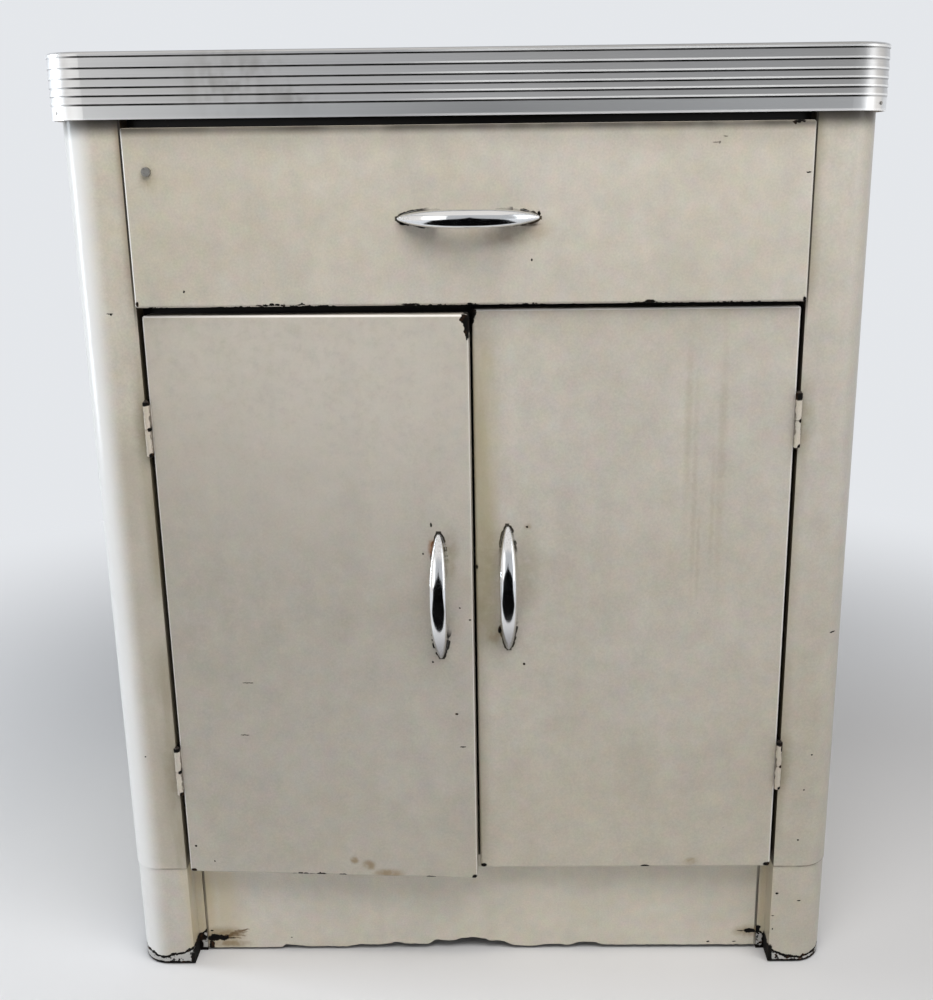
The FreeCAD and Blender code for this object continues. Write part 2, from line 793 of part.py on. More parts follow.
for name, shape in door(0.0).items():
    parts["right_" + name] = shape
for name, shape in door(left_door_drop).items():
    swung = mirrored(shape)
    swung.rotate(vec(-hinge_x, hinge_y, 0), vec(0, 0, 1), -left_door_ajar)
    parts["left_" + name] = swung
for name, shape in drawer().items():
    parts[name] = shape.translated(vec(0, -drawer_ajar, 0))

# Origin at the bottom centre of the whole part: the foremost point is the crest of the left pull
ajar = math.radians(left_door_ajar)
crest_out = -pull_rise - hinge_y
crest_along = hinge_x - door_pull_x
front_reach = -(hinge_y + crest_out * math.cos(ajar) - crest_along * math.sin(ajar))
origin_shift = vec(0, (front_reach - body_depth) / 2, 0)

os.makedirs("parts", exist_ok=True)
for name, shape in parts.items():
    shape.translated(origin_shift).exportStep("parts/" + name + ".step")
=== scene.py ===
import math
import random

import bmesh
import bpy
from mathutils import Matrix, Vector


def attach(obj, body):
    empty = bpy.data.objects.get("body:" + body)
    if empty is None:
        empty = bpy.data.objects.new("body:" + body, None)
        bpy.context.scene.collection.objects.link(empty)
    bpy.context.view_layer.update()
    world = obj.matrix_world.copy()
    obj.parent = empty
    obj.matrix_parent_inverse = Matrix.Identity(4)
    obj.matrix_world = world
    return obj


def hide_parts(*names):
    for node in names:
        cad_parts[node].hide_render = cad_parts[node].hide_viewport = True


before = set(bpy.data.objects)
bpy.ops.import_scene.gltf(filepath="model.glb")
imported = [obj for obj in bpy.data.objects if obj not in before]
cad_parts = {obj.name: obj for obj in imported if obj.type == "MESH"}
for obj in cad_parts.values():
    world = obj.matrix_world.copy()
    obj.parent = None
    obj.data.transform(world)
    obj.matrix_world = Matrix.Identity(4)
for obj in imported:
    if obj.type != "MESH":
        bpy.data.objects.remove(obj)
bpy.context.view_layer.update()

# Side panels: each is one bent sheet of steel, a wall with a rounded front corner and a stile.
# Baked cream enamel, yellowed beside the drawer and the hinges, with a few spots knocked off; painted shade under
# the worktop, beside the drawer and in the jambs, and a painted highlight on the left corner.
COLOUR = "NodeSocketColor"
NUMBER = "NodeSocketFloat"
VECTOR = "NodeSocketVector"
MASK = {"Mask": NUMBER}
CREAM = (0.56, 0.522, 0.458, 1)
AGED_CREAM = (0.515, 0.47, 0.382, 1)
OCHRE = (0.25, 0.165, 0.065, 1)
OLIVE = (0.23, 0.19, 0.1, 1)
# Near-black for soot and dark joints, and for painted shade.
SOOT_AND_SHADE = (0.024, 0.019, 0.014, 1)
# Dark for grime, and for painted shade in the gaps.
GRIME_AND_SHADE = (0.04, 0.032, 0.024, 1)
STILE_EDGE = 0.3035
BASE_SEAM = 0.115


def feed(tree, node, inputs):
    for key, value in inputs.items():
        if isinstance(value, bpy.types.NodeSocket):
            tree.links.new(value, node.inputs[key])
        else:
            node.inputs[key].default_value = value


def put(tree, kind, inputs=None, **settings):
    made = tree.nodes.new(kind)
    for key, value in settings.items():
        setattr(made, key, value)
    feed(tree, made, inputs or {})
    return made


def calc(tree, operation, first, second=0.0):
    return put(tree, "ShaderNodeMath", {0: first, 1: second}, operation=operation).outputs[0]


def ramp(tree, value, low, high, start=0.0, end=1.0):
    inputs = {"Value": value, "From Min": low, "From Max": high, "To Min": start, "To Max": end}
    return put(tree, "ShaderNodeMapRange", inputs, interpolation_type="SMOOTHSTEP").outputs[0]


def minus(tree, first, second):
    return calc(tree, "SUBTRACT", first, second)


def times(tree, first, second):
    return calc(tree, "MULTIPLY", first, second)


def tint(tree, share, below, above):
    return put(tree, "ShaderNodeMix", {0: share, 6: below, 7: above}, data_type="RGBA").outputs[2]


def cloud(tree, place, scale, detail=2.0, rough=0.5):
    inputs = {"Vector": place, "Scale": scale, "Detail": detail, "Roughness": rough}
    return put(tree, "ShaderNodeTexNoise", inputs).outputs[0]


def stretched(tree, place, factors):
    return put(tree, "ShaderNodeVectorMath", {0: place, 1: factors}, operation="MULTIPLY").outputs[0]


def less(tree, place, origin):
    return put(tree, "ShaderNodeVectorMath", {0: place, 1: origin}, operation="SUBTRACT").outputs[0]


def parts_of(tree, vector):
    return put(tree, "ShaderNodeSeparateXYZ", {0: vector}).outputs


def open_group(name, inputs, outputs=MASK):
    tree = bpy.data.node_groups.new(name, "ShaderNodeTree")
    for label, kind in inputs.items():
        tree.interface.new_socket(label, in_out="INPUT", socket_type=kind)
    for label, kind in outputs.items():
        tree.interface.new_socket(label, in_out="OUTPUT", socket_type=kind)
    given = tree.nodes.new("NodeGroupInput").outputs
    made = tree.nodes.new("NodeGroupOutput").inputs
    return tree, given, made


def use_group(tree, group, inputs):
    return put(tree, "ShaderNodeGroup", inputs, node_tree=group).outputs


# Enamel tone: soft blotches, faint runs and a fine grain in the baked coat.
enamel_tone, given, made = open_group(
    "enamel tone", {"Place": VECTOR, "Cream": COLOUR, "Aged": COLOUR},
    {"Colour": COLOUR, "Roughness": NUMBER, "Height": NUMBER})
tree = enamel_tone
broad = cloud(tree, given["Place"], 2.4, 3.0)
mottle = cloud(tree, given["Place"], 34.0, 5.0, 0.65)
runs = cloud(tree, stretched(tree, given["Place"], (26.0, 26.0, 3.0)), 1.0, 3.0)
grain = cloud(tree, given["Place"], 560.0, 2.0)
hues = put(tree, "ShaderNodeTexNoise", {"Vector": given["Place"], "Scale": 75.0, "Detail": 3.0}).outputs[1]
worn_share = times(tree, ramp(tree, broad, 0.36, 0.66), 0.8)
base_tone = tint(tree, worn_share, given["Cream"], given["Aged"])
level = calc(tree, "ADD", times(tree, mottle, 0.3), 0.645)
level = calc(tree, "ADD", level, times(tree, runs, 0.14))
level = calc(tree, "ADD", level, times(tree, grain, 0.27))
toned = put(tree, "ShaderNodeVectorMath", {0: base_tone, 3: level}, operation="SCALE").outputs[0]
hue_shift = put(tree, "ShaderNodeVectorMath", {0: hues, 1: (0.17, 0.14, 0.17), 2: (0.915, 0.93, 0.915)},
                operation="MULTIPLY_ADD").outputs[0]
toned = put(tree, "ShaderNodeVectorMath", {0: toned, 1: hue_shift}, operation="MULTIPLY").outputs[0]
dots = put(tree, "ShaderNodeTexVoronoi", {"Vector": given["Place"], "Scale": 60.0})
rare = ramp(tree, parts_of(tree, dots.outputs["Color"])["X"], 0.9, 0.94)
speck = times(tree, ramp(tree, dots.outputs["Distance"], 0.018, 0.034, 1.0, 0.0), rare)
toned = tint(tree, times(tree, speck, 0.75), toned, (0.06, 0.045, 0.03, 1))
tree.links.new(toned, made["Colour"])
tree.links.new(ramp(tree, mottle, 0.3, 0.7, 0.34, 0.5), made["Roughness"])
tree.links.new(cloud(tree, given["Place"], 260.0, 2.0), made["Height"])

# Spot: one rounded patch in the X-Z plane, hard or soft at its rim, whatever its depth.
FLAT = 100.0
spot, given, made = open_group("spot", {"Place": VECTOR, "Centre": VECTOR, "Radii": VECTOR, "Softness": NUMBER})
tree = spot
offset = less(tree, given["Place"], given["Centre"])
share = put(tree, "ShaderNodeVectorMath", {0: offset, 1: given["Radii"]}, operation="DIVIDE").outputs[0]
reach = put(tree, "ShaderNodeVectorMath", {0: share}, operation="LENGTH").outputs[1]
inner_rim = minus(tree, 1.0, given["Softness"])
outer_rim = calc(tree, "ADD", 1.0, given["Softness"])
tree.links.new(ramp(tree, reach, inner_rim, outer_rim, 1.0, 0.0), made["Mask"])

# Ragged place: the surface's own coordinates, shaken finely so that rims come out torn.
ragged_place, given, made = open_group(
    "ragged place", {"Place": VECTOR, "Amount": NUMBER, "Scale": NUMBER}, {"Place": VECTOR})
tree = ragged_place
shake = put(tree, "ShaderNodeTexNoise", {"Vector": given["Place"], "Scale": given["Scale"], "Detail": 3.0})
centred = less(tree, shake.outputs[1], (0.5, 0.5, 0.5))
scaled = put(tree, "ShaderNodeVectorMath", {0: centred, 3: given["Amount"]}, operation="SCALE")
moved = put(tree, "ShaderNodeVectorMath", {0: given["Place"], 1: scaled.outputs[0]}, operation="ADD")
tree.links.new(moved.outputs[0], made["Place"])

# Chipped edge: flakes that run along the rim of a panel lying in the X-Z plane.
chipped_edge, given, made = open_group(
    "chipped edge", {"Place": VECTOR, "Low": VECTOR, "High": VECTOR, "Reach": NUMBER, "Chance": NUMBER})
tree = chipped_edge
low_part = parts_of(tree, less(tree, given["Place"], given["Low"]))
high_part = parts_of(tree, less(tree, given["High"], given["Place"]))
to_side = calc(tree, "MINIMUM", low_part["X"], high_part["X"])
to_level = calc(tree, "MINIMUM", low_part["Z"], high_part["Z"])
to_edge = calc(tree, "MINIMUM", to_side, to_level)
where = cloud(tree, given["Place"], 24.0, 2.0)
torn = cloud(tree, given["Place"], 260.0, 4.0)
first = minus(tree, 1.0, given["Chance"])
last = calc(tree, "ADD", first, 0.1)
width = times(tree, ramp(tree, where, first, last), given["Reach"])
width = times(tree, width, ramp(tree, torn, 0.38, 0.72))
depth_in = minus(tree, width, to_edge)
tree.links.new(ramp(tree, depth_in, 0.0, 0.0003), made["Mask"])

# Flaked enamel: where the coat is gone, black scale with brown rust, rougher, lower and without gloss.
GLOSS = 0.35
flaked_enamel, given, made = open_group(
    "flaked enamel", {"Place": VECTOR, "Flaked": NUMBER, "Colour": COLOUR, "Roughness": NUMBER, "Height": NUMBER},
    {"Colour": COLOUR, "Roughness": NUMBER, "Height": NUMBER, "Gloss": NUMBER})
tree = flaked_enamel
rusting = ramp(tree, cloud(tree, given["Place"], 140.0, 4.0), 0.52, 0.78)
bare_steel = tint(tree, rusting, (0.004, 0.0035, 0.003, 1), (0.06, 0.026, 0.01, 1))
tree.links.new(tint(tree, given["Flaked"], given["Colour"], bare_steel), made["Colour"])
rougher = calc(tree, "ADD", given["Roughness"], times(tree, given["Flaked"], 0.5))
tree.links.new(rougher, made["Roughness"])
tree.links.new(minus(tree, given["Height"], given["Flaked"]), made["Height"])
kept = minus(tree, 1.0, given["Flaked"])
tree.links.new(times(tree, kept, GLOSS), made["Gloss"])

# Patchy: an uneven share that breaks up a stain.
patchy, given, made = open_group("patchy", {"Place": VECTOR}, {"Share": NUMBER})
tree = patchy
tree.links.new(ramp(tree, cloud(tree, given["Place"], 120.0, 3.0), 0.25, 0.6, 0.45, 1.0), made["Share"])

# Upright stain and shade: a tint along an edge at one X, between two heights, for yellowing and grease, and in
# some places for painted shade.
EDGE_FADE = 0.03
upright_stain_and_shade, given, made = open_group(
    "upright stain and shade", {"Place": VECTOR, "Edge": NUMBER, "Full": NUMBER, "Width": NUMBER, "Low": NUMBER,
                     "High": NUMBER, "Thin": NUMBER, "Strength": NUMBER})
tree = upright_stain_and_shade
part = parts_of(tree, given["Place"])
away = calc(tree, "ABSOLUTE", minus(tree, part["X"], given["Edge"]))
near = ramp(tree, away, given["Full"], given["Width"], 1.0, 0.0)
over_low = ramp(tree, minus(tree, part["Z"], given["Low"]), -EDGE_FADE, EDGE_FADE)
over_high = minus(tree, part["Z"], given["High"])
inside = times(tree, over_low, ramp(tree, over_high, -EDGE_FADE, EDGE_FADE, 1.0, 0.0))
streaks = cloud(tree, stretched(tree, given["Place"], (60, 60, 9)), 1.0, 3.0)
uneven = ramp(tree, streaks, 0.3, 0.65, given["Thin"], 1.0)
share = times(tree, times(tree, near, inside), uneven)
tree.links.new(times(tree, share, given["Strength"]), made["Mask"])

# Painted shade under: the shade of the worktop's edge painted dark, thinning downwards, full only on faces that
# look forward.
painted_shade_under, given, made = open_group(
    "painted shade under", {"Place": VECTOR, "Normal": VECTOR, "Top": NUMBER, "Reach": NUMBER, "Strength": NUMBER})
tree = painted_shade_under
lowest = minus(tree, given["Top"], given["Reach"])
share = ramp(tree, parts_of(tree, given["Place"])["Z"], lowest, given["Top"], 0.0, given["Strength"])
uneven = ramp(tree, cloud(tree, given["Place"], 24.0, 2.0), 0.3, 0.65, 0.8, 1.0)
front = ramp(tree, parts_of(tree, given["Normal"])["Y"], -0.75, -0.35, 1.0, 0.35)
share = times(tree, times(tree, share, uneven), front)
tree.links.new(share, made["Mask"])

# Jamb grime and shade: dirt and painted shade on the inward face of the stile that the door closes against, so the
# gap reads dark.
jamb_grime_and_shade, given, made = open_group("jamb grime and shade", {"Place": VECTOR, "Normal": VECTOR})
tree = jamb_grime_and_shade
inward = calc(tree, "ABSOLUTE", parts_of(tree, given["Normal"])["X"])
across = calc(tree, "ABSOLUTE", parts_of(tree, given["Place"])["X"])
share = times(tree, ramp(tree, inward, 0.7, 0.95), ramp(tree, across, 0.3045, 0.306, 0.95, 0.0))
tree.links.new(share, made["Mask"])

# Seam dirt: the fine dirty joint between a panel and the leg under it.
seam_dirt, given, made = open_group("seam dirt", {"Place": VECTOR, "Level": NUMBER})
tree = seam_dirt
away = minus(tree, parts_of(tree, given["Place"])["Z"], given["Level"])
line = ramp(tree, calc(tree, "ABSOLUTE", away), 0.0003, 0.0012, 1.0, 0.0)
uneven = ramp(tree, cloud(tree, given["Place"], 90.0, 2.0), 0.3, 0.6, 0.35, 0.75)
tree.links.new(times(tree, line, uneven), made["Mask"])

# Painted corner highlight: the rounded corner that faces the light painted pale, a painted highlight.
painted_corner_highlight, given, made = open_group("painted corner highlight", {"Place": VECTOR, "Strength": NUMBER})
tree = painted_corner_highlight
part = parts_of(tree, given["Place"])
share = times(tree, ramp(tree, part["X"], -0.347, -0.326, given["Strength"], 0.0),
              ramp(tree, part["Y"], -0.19, -0.1, 1.0, 0.0))
tree.links.new(share, made["Mask"])


def start_material(name):
    material = bpy.data.materials.new(name)
    material.use_nodes = True
    tree = material.node_tree
    return material, tree, tree.nodes["Principled BSDF"], tree.nodes.new("ShaderNodeTexCoord").outputs


def lay_enamel(name, cream=CREAM, aged=AGED_CREAM):
    material, tree, shader, source = start_material(name)
    tone = use_group(tree, enamel_tone, {"Place": source["Object"], "Cream": cream, "Aged": aged})
    return {"material": material, "tree": tree, "shader": shader, "place": source["Object"],
            "normal": source["Normal"], "colour": tone["Colour"], "rough": tone["Roughness"],
            "height": tone["Height"], "flaked": None}


def mark(coat, group, colour, inputs):
    """Lay a colour over the coat where the group's mask says."""
    tree = coat["tree"]
    node = put(tree, "ShaderNodeGroup", inputs, node_tree=group)
    feed(tree, node, {label: coat[label.lower()] for label in ("Place", "Normal") if label in node.inputs})
    coat["colour"] = tint(tree, node.outputs["Mask"], coat["colour"], colour)


def joined(tree, masks):
    whole = masks[0]
    for mask in masks[1:]:
        whole = calc(tree, "MAXIMUM", whole, mask)
    return whole


def spots_at(tree, place, spots, softness):
    masks = []
    for x, z, half_wide, half_high in spots:
        inputs = {"Place": place, "Centre": (x, 0, z), "Radii": (half_wide, FLAT, half_high), "Softness": softness}
        masks.append(use_group(tree, spot, inputs)["Mask"])
    return joined(tree, masks)


def spots_mask(coat, spots, softness, tear=0.0016, fineness=420.0):
    tree = coat["tree"]
    place = use_group(tree, ragged_place, {"Place": coat["place"], "Amount": tear, "Scale": fineness})["Place"]
    return spots_at(tree, place, spots, softness)


# A tinted patch: used for stains, and in some places for painted light and shade.
def tint_patch(coat, colour, strength, spots, softness=0.6):
    tree = coat["tree"]
    uneven = use_group(tree, patchy, {"Place": coat["place"]})["Share"]
    share = times(tree, spots_mask(coat, spots, softness, 0.004, 160.0), uneven)
    coat["colour"] = tint(tree, times(tree, share, strength), coat["colour"], colour)


def flake(coat, mask):
    earlier = coat["flaked"]
    coat["flaked"] = mask if earlier is None else calc(coat["tree"], "MAXIMUM", earlier, mask)


def chip(coat, spots):
    flake(coat, spots_mask(coat, spots, 0.18))


def break_out(coat, spots):
    """Larger losses, torn along their rims."""
    flake(coat, spots_mask(coat, spots, 0.12, 0.006, 210.0))


def chip_edges(coat, low, high, reach, chance):
    inputs = {"Place": coat["place"], "Low": low, "High": high, "Reach": reach, "Chance": chance}
    flake(coat, use_group(coat["tree"], chipped_edge, inputs)["Mask"])


def stain_and_shade_edge(coat, x, width, strength, low, high, colour=OLIVE, full=0.0, thin=0.25):
    mark(coat, upright_stain_and_shade, colour, {"Edge": x, "Full": full, "Width": width, "Low": low, "High": high,
                                      "Thin": thin, "Strength": strength})


def shade_under(coat, top, reach, strength):
    mark(coat, painted_shade_under, SOOT_AND_SHADE, {"Top": top, "Reach": reach, "Strength": strength})


def darken_jamb(coat):
    mark(coat, jamb_grime_and_shade, GRIME_AND_SHADE, {})


def seam_line(coat):
    mark(coat, seam_dirt, (0.12, 0.095, 0.065, 1), {"Level": BASE_SEAM})


def paint_corner_highlight(coat, strength):
    mark(coat, painted_corner_highlight, (0.92, 0.92, 0.91, 1), {"Strength": strength})


def fire_enamel(coat):
    """Join the coat to its shader, broken by its flakes where it has any."""
    tree, shader = coat["tree"], coat["shader"]
    skin = {"Colour": coat["colour"], "Roughness": coat["rough"], "Height": times(tree, coat["height"], 0.05)}
    if coat["flaked"] is None:
        shader.inputs["Coat Weight"].default_value = GLOSS
    else:
        skin = use_group(tree, flaked_enamel, {**skin, "Place": coat["place"], "Flaked": coat["flaked"]})
        tree.links.new(skin["Gloss"], shader.inputs["Coat Weight"])
    bump = put(tree, "ShaderNodeBump", {"Height": skin["Height"], "Distance": 0.0003, "Strength": 1.0})
    feed(tree, shader, {"Base Color": skin["Colour"], "Roughness": skin["Roughness"], "Normal": bump.outputs[0],
                        "Coat Roughness": 0.18, "Specular IOR Level": 0.2})
    return coat["material"]


def dress(material, *names):
    for name in names:
        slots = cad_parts[name].data.materials
        slots.clear()
        slots.append(material)


# Left side: a lighter copy of the cream that stands in for light the panel lacks, a painted light.
coat = lay_enamel("left side enamel", (0.625, 0.583, 0.512, 1), (0.578, 0.53, 0.435, 1))
seam_line(coat)
# Painted shade and grime in the jamb.
darken_jamb(coat)
# Beside the drawer: yellowing, and the painted shade of the drawer that stands proud.
stain_and_shade_edge(coat, -STILE_EDGE, 0.01, 0.64, 0.68, 0.87, (0.3, 0.21, 0.11, 1))
stain_and_shade_edge(coat, -STILE_EDGE, 0.026, 0.62, 0.1, 0.36)
# The flat of the stile darker from 0.10 to 0.58 m high, a painted shade.
stain_and_shade_edge(coat, -STILE_EDGE, 0.04, 0.45, 0.1, 0.58, (0.4, 0.355, 0.28, 1), 0.024, 0.8)
# A painted highlight on the rounded corner.
paint_corner_highlight(coat, 0.85)
stain_and_shade_edge(coat, -STILE_EDGE, 0.014, 0.5, 0.42, 0.66)
# A dark line on the stile beside the drawer: grime and painted contact shade.
stain_and_shade_edge(coat, -0.3047, 0.0014, 1.0, 0.69, 0.87, SOOT_AND_SHADE, 0.0008, 0.8)
# The painted shadow of the worktop's edge across the top.
shade_under(coat, 0.8595, 0.02, 0.95)
tint_patch(coat, OLIVE, 0.35, [(-0.3085, 0.58, 0.006, 0.03), (-0.3085, 0.228, 0.007, 0.034)], 0.8)
chip(coat, [(-0.328, 0.6894, 0.003, 0.0005), (-0.327, 0.6886, 0.0009, 0.0008), (-0.335, 0.244, 0.001, 0.0007)])
dress(fire_enamel(coat), "left_side_panel")

coat = lay_enamel("right side enamel")
seam_line(coat)
# Painted shade and grime in the jamb.
darken_jamb(coat)
# Beside the drawer: yellowing with the painted shade of the drawer that stands proud, and a dark line of grime and
# painted contact shade.
stain_and_shade_edge(coat, STILE_EDGE, 0.013, 0.62, 0.7, 0.87)
stain_and_shade_edge(coat, 0.3044, 0.0012, 1.0, 0.69, 0.87, SOOT_AND_SHADE, 0.0006, 0.8)
# The painted shadow of the worktop's edge across the top.
shade_under(coat, 0.8595, 0.019, 0.95)
stain_and_shade_edge(coat, STILE_EDGE, 0.012, 0.3, 0.14, 0.62)
tint_patch(coat, OLIVE, 0.35, [(0.309, 0.583, 0.007, 0.03), (0.309, 0.231, 0.006, 0.03)], 0.8)
chip(coat, [(0.3493, 0.3718, 0.003, 0.0008), (0.3356, 0.2417, 0.0011, 0.0008), (0.327, 0.1456, 0.0011, 0.0009),
            (0.3299, 0.2026, 0.0008, 0.0008)])
dress(fire_enamel(coat), "right_side_panel")

# Base ends: the two rounded legs, pressed from sheet and turned under at the floor.
# The same enamel, broken through at the bottom where feet, mops and damp have reached it; black in the last
# millimetre above the floor, bare steel with painted contact shade.
foot_wear, given, made = open_group(
    "foot wear", {"Place": VECTOR, "Middle": NUMBER, "Height": NUMBER, "Bare": NUMBER},
    {"Crack": NUMBER, "Cap": NUMBER, "Bare": NUMBER})
tree = foot_wear
part = parts_of(tree, given["Place"])
beside = minus(tree, part["X"], given["Middle"])
bowl = times(tree, times(tree, beside, beside), 9.0)
torn = times(tree, cloud(tree, given["Place"], 85.0, 5.0, 0.6), 0.012)
line = calc(tree, "ADD", calc(tree, "ADD", given["Height"], bowl), minus(tree, torn, 0.006))
under = minus(tree, line, part["Z"])
thick = calc(tree, "ADD", times(tree, cloud(tree, given["Place"], 140.0, 3.0), 0.005), 0.0004)
over_line = ramp(tree, under, 0.0, 0.0005)
past_line = ramp(tree, minus(tree, under, thick), 0.0, 0.0005)
tree.links.new(minus(tree, over_line, past_line), made["Crack"])
tree.links.new(past_line, made["Cap"])
blotches = cloud(tree, given["Place"], 230.0, 4.0, 0.6)
start = minus(tree, 1.0, given["Bare"])
bare = ramp(tree, blotches, start, calc(tree, "ADD", start, 0.04))
# The last millimetre above the floor goes black with the bare steel, a painted contact shade.
uneven_floor = minus(tree, part["Z"], times(tree, blotches, 0.006))
floor_contact_shade = ramp(tree, uneven_floor, 0.0004, 0.0012, 1.0, 0.0)
tree.links.new(times(tree, past_line, calc(tree, "MAXIMUM", bare, floor_contact_shade)), made["Bare"])

legs = (("left_base_end", -1, 0.0115, 0.42, 0.02), ("right_base_end", 1, 0.0085, 0.47, 0.008))
for name, side, wear_height, bare_share, yellow_width in legs:
    coat = lay_enamel(name.replace("_", " ") + " enamel")
    seam_line(coat)
    # A painted highlight on the left leg's rounded corner.
    if side < 0:
        paint_corner_highlight(coat, 0.75)
    stain_and_shade_edge(coat, side * 0.2995, yellow_width, 0.8 if side < 0 else 0.4, 0.0, 0.13, (0.62, 0.51, 0.29, 1))
    tree = coat["tree"]
    worn = use_group(tree, foot_wear, {"Place": coat["place"], "Middle": side * 0.337, "Height": wear_height,
                                       "Bare": bare_share})
    coat["colour"] = tint(tree, worn["Cap"], coat["colour"], (0.5, 0.49, 0.47, 1))
    flake(coat, worn["Crack"])
    flake(coat, worn["Bare"])
    chip(coat, [(0.3088, 0.0825, 0.0016, 0.0013), (0.3321, 0.074, 0.0017, 0.0008), (0.306, 0.056, 0.0014, 0.0005),
                (0.3062, 0.04, 0.0008, 0.0012)])
    # The black patches at the inner bottom corners are rust with the painted shade of the leg's inner return.
    break_out(coat, [(-0.3005, 0.0155, 0.005, 0.0045), (-0.304, 0.006, 0.004, 0.008),
                     (0.2965, 0.023, 0.0025, 0.005), (0.3045, 0.008, 0.003, 0.014)])
    dress(fire_enamel(coat), name)

# Toe-kick: a folded sheet set back between the legs, its lower edge eaten away by rust.
# Built as one bent sheet whose bottom follows the worn line, in a lighter copy of the enamel that stands in for
# light in its shaded recess, a painted light.
TOE_HALF = 0.2944
TOE_FACE = -0.205308
TOE_SHEET = 0.0012
TOE_LOW = 0.003
TOE_HIGH = 0.1162
TOE_FLANGE = 0.018
TOE_RETURN = 0.015
WORN_LINE = ((-0.2944, 0.003), (-0.23, 0.003), (-0.215, 0.0034), (-0.21, 0.0066), (-0.201, 0.0058),
             (-0.187, 0.0042), (-0.145, 0.004), (-0.129, 0.0064), (-0.108, 0.0063), (-0.097, 0.0076),
             (-0.091, 0.0094), (-0.079, 0.007), (-0.057, 0.0065), (-0.047, 0.012), (-0.033, 0.0103),
             (-0.019, 0.0136), (-0.008, 0.0147), (0.004, 0.0128), (0.011, 0.0102), (0.02, 0.0104), (0.037, 0.0046),
             (0.053, 0.0034), (0.07, 0.0056), (0.084, 0.006), (0.092, 0.0044), (0.109, 0.0083), (0.118, 0.0085),
             (0.134, 0.0047), (0.2944, 0.0045))


def worn_height(x):
    for (x0, z0), (x1, z1) in zip(WORN_LINE, WORN_LINE[1:]):
        if x <= x1:
            share = (x - x0) / (x1 - x0)
            share = share * share * (3 - 2 * share)
            return z0 + (z1 - z0) * share
    return WORN_LINE[-1][1]


def skin_over(name, rings):
    """A closed mesh through rings of points, capped at both ends."""
    mesh = bmesh.new()
    rows = [[mesh.verts.new(point) for point in ring] for ring in rings]
    count = len(rows[0])
    for row, following in zip(rows, rows[1:]):
        for i in range(count):
            j = (i + 1) % count
            mesh.faces.new((row[i], row[j], following[j], following[i]))
    mesh.faces.new(list(reversed(rows[0])))
    mesh.faces.new(rows[-1])
    bmesh.ops.recalc_face_normals(mesh, faces=mesh.faces)
    data = bpy.data.meshes.new(name)
    mesh.to_mesh(data)
    mesh.free()
    return data


toe_random = random.Random(7)
toe_columns = 420
rings = []
for step in range(toe_columns + 1):
    x = -TOE_HALF + 2 * TOE_HALF * step / toe_columns
    low = max(TOE_LOW, worn_height(x) + toe_random.uniform(-0.0004, 0.0004))
    at_end = abs(x) > TOE_HALF - TOE_SHEET
    back = TOE_RETURN if at_end else TOE_SHEET
    section = ((0, low), (0, TOE_HIGH), (TOE_FLANGE, TOE_HIGH), (TOE_FLANGE, TOE_HIGH - TOE_SHEET),
               (back, TOE_HIGH - TOE_SHEET), (back, low))
    rings.append([(x, TOE_FACE + y, z) for y, z in section])
toe_data = skin_over("toe_kick", rings)
toe_kick = bpy.data.objects.new("toe_kick", toe_data)
bpy.context.scene.collection.objects.link(toe_kick)
# A lighter copy of the cream: painted light for the shaded recess.
coat = lay_enamel("toe-kick enamel", (0.672, 0.63, 0.556, 1), (0.64, 0.59, 0.488, 1))
stain_and_shade_edge(coat, -0.295, 0.065, 0.7, 0.0, 0.11, (0.58, 0.48, 0.28, 1), 0.0, 0.5)
stain_and_shade_edge(coat, -0.2936, 0.0018, 0.95, 0.0, 0.14, SOOT_AND_SHADE)
stain_and_shade_edge(coat, 0.2936, 0.0018, 0.95, 0.0, 0.14, SOOT_AND_SHADE)
tint_patch(coat, OCHRE, 0.75, [(-0.276, 0.019, 0.018, 0.008), (-0.27, 0.008, 0.018, 0.004),
                          (0.288, 0.021, 0.014, 0.006)], 0.7)
fan = ((-0.2655, 0.0188, 0.01, 0.1), (-0.263, 0.0205, 0.012, 0.2), (-0.2645, 0.0175, 0.011, 0.02),
       (-0.26, 0.0228, 0.011, 0.28), (-0.266, 0.015, 0.008, -0.06), (-0.258, 0.0245, 0.007, 0.16))
for x, z, run, slope in fan:
    stroke = [(x + run * i / 5, z + slope * run * i / 5, run / 5, 0.0008 - 0.00008 * i) for i in range(-4, 5)]
    tint_patch(coat, (0.13, 0.07, 0.02, 1), 0.8, stroke, 0.5)
break_out(coat, [(-0.287, 0.0152, 0.008, 0.0042), (-0.278, 0.0154, 0.0066, 0.0034), (-0.2905, 0.006, 0.003, 0.006),
                 (0.2885, 0.0215, 0.0064, 0.0026)])
chip(coat, [(-0.2895, 0.024, 0.0018, 0.0009), (-0.269, 0.0146, 0.005, 0.0005), (0.2785, 0.0213, 0.004, 0.0005),
            (0.244, 0.008, 0.0016, 0.0009), (0.272, 0.008, 0.0022, 0.0006), (-0.204, 0.015, 0.0009, 0.0006)])
toe_data.materials.append(fire_enamel(coat))
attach(toe_kick, "cabinet")
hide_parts("toe_kick_panel")

# Inside of the carcass: floor, back, shelf, rails and runners, folded from the same sheet.
# Enamel that has had less light and less wear, with dust and small rust marks.
INSIDE_CREAM = (0.52, 0.48, 0.41, 1)
inside_coat = lay_enamel("inside enamel", INSIDE_CREAM, AGED_CREAM)
dress(fire_enamel(inside_coat), "floor_pan", "back_panel", "shelf", "shelf_cleats", "rear_base_rail",
      "left_drawer_runner", "right_drawer_runner")
# The rails behind the gaps are near-black, a painted shade that makes the gaps read dark.
coat = lay_enamel("shade-dark rail enamel", (0.018, 0.016, 0.013, 1), (0.012, 0.01, 0.009, 1))
dress(fire_enamel(coat), "top_front_rail", "top_rear_rail", "drawer_rail")

# Worktop: a softwood core on battens under a sheet of red-brown linoleum.
# Bare sawn wood below, marbled and polished on top.

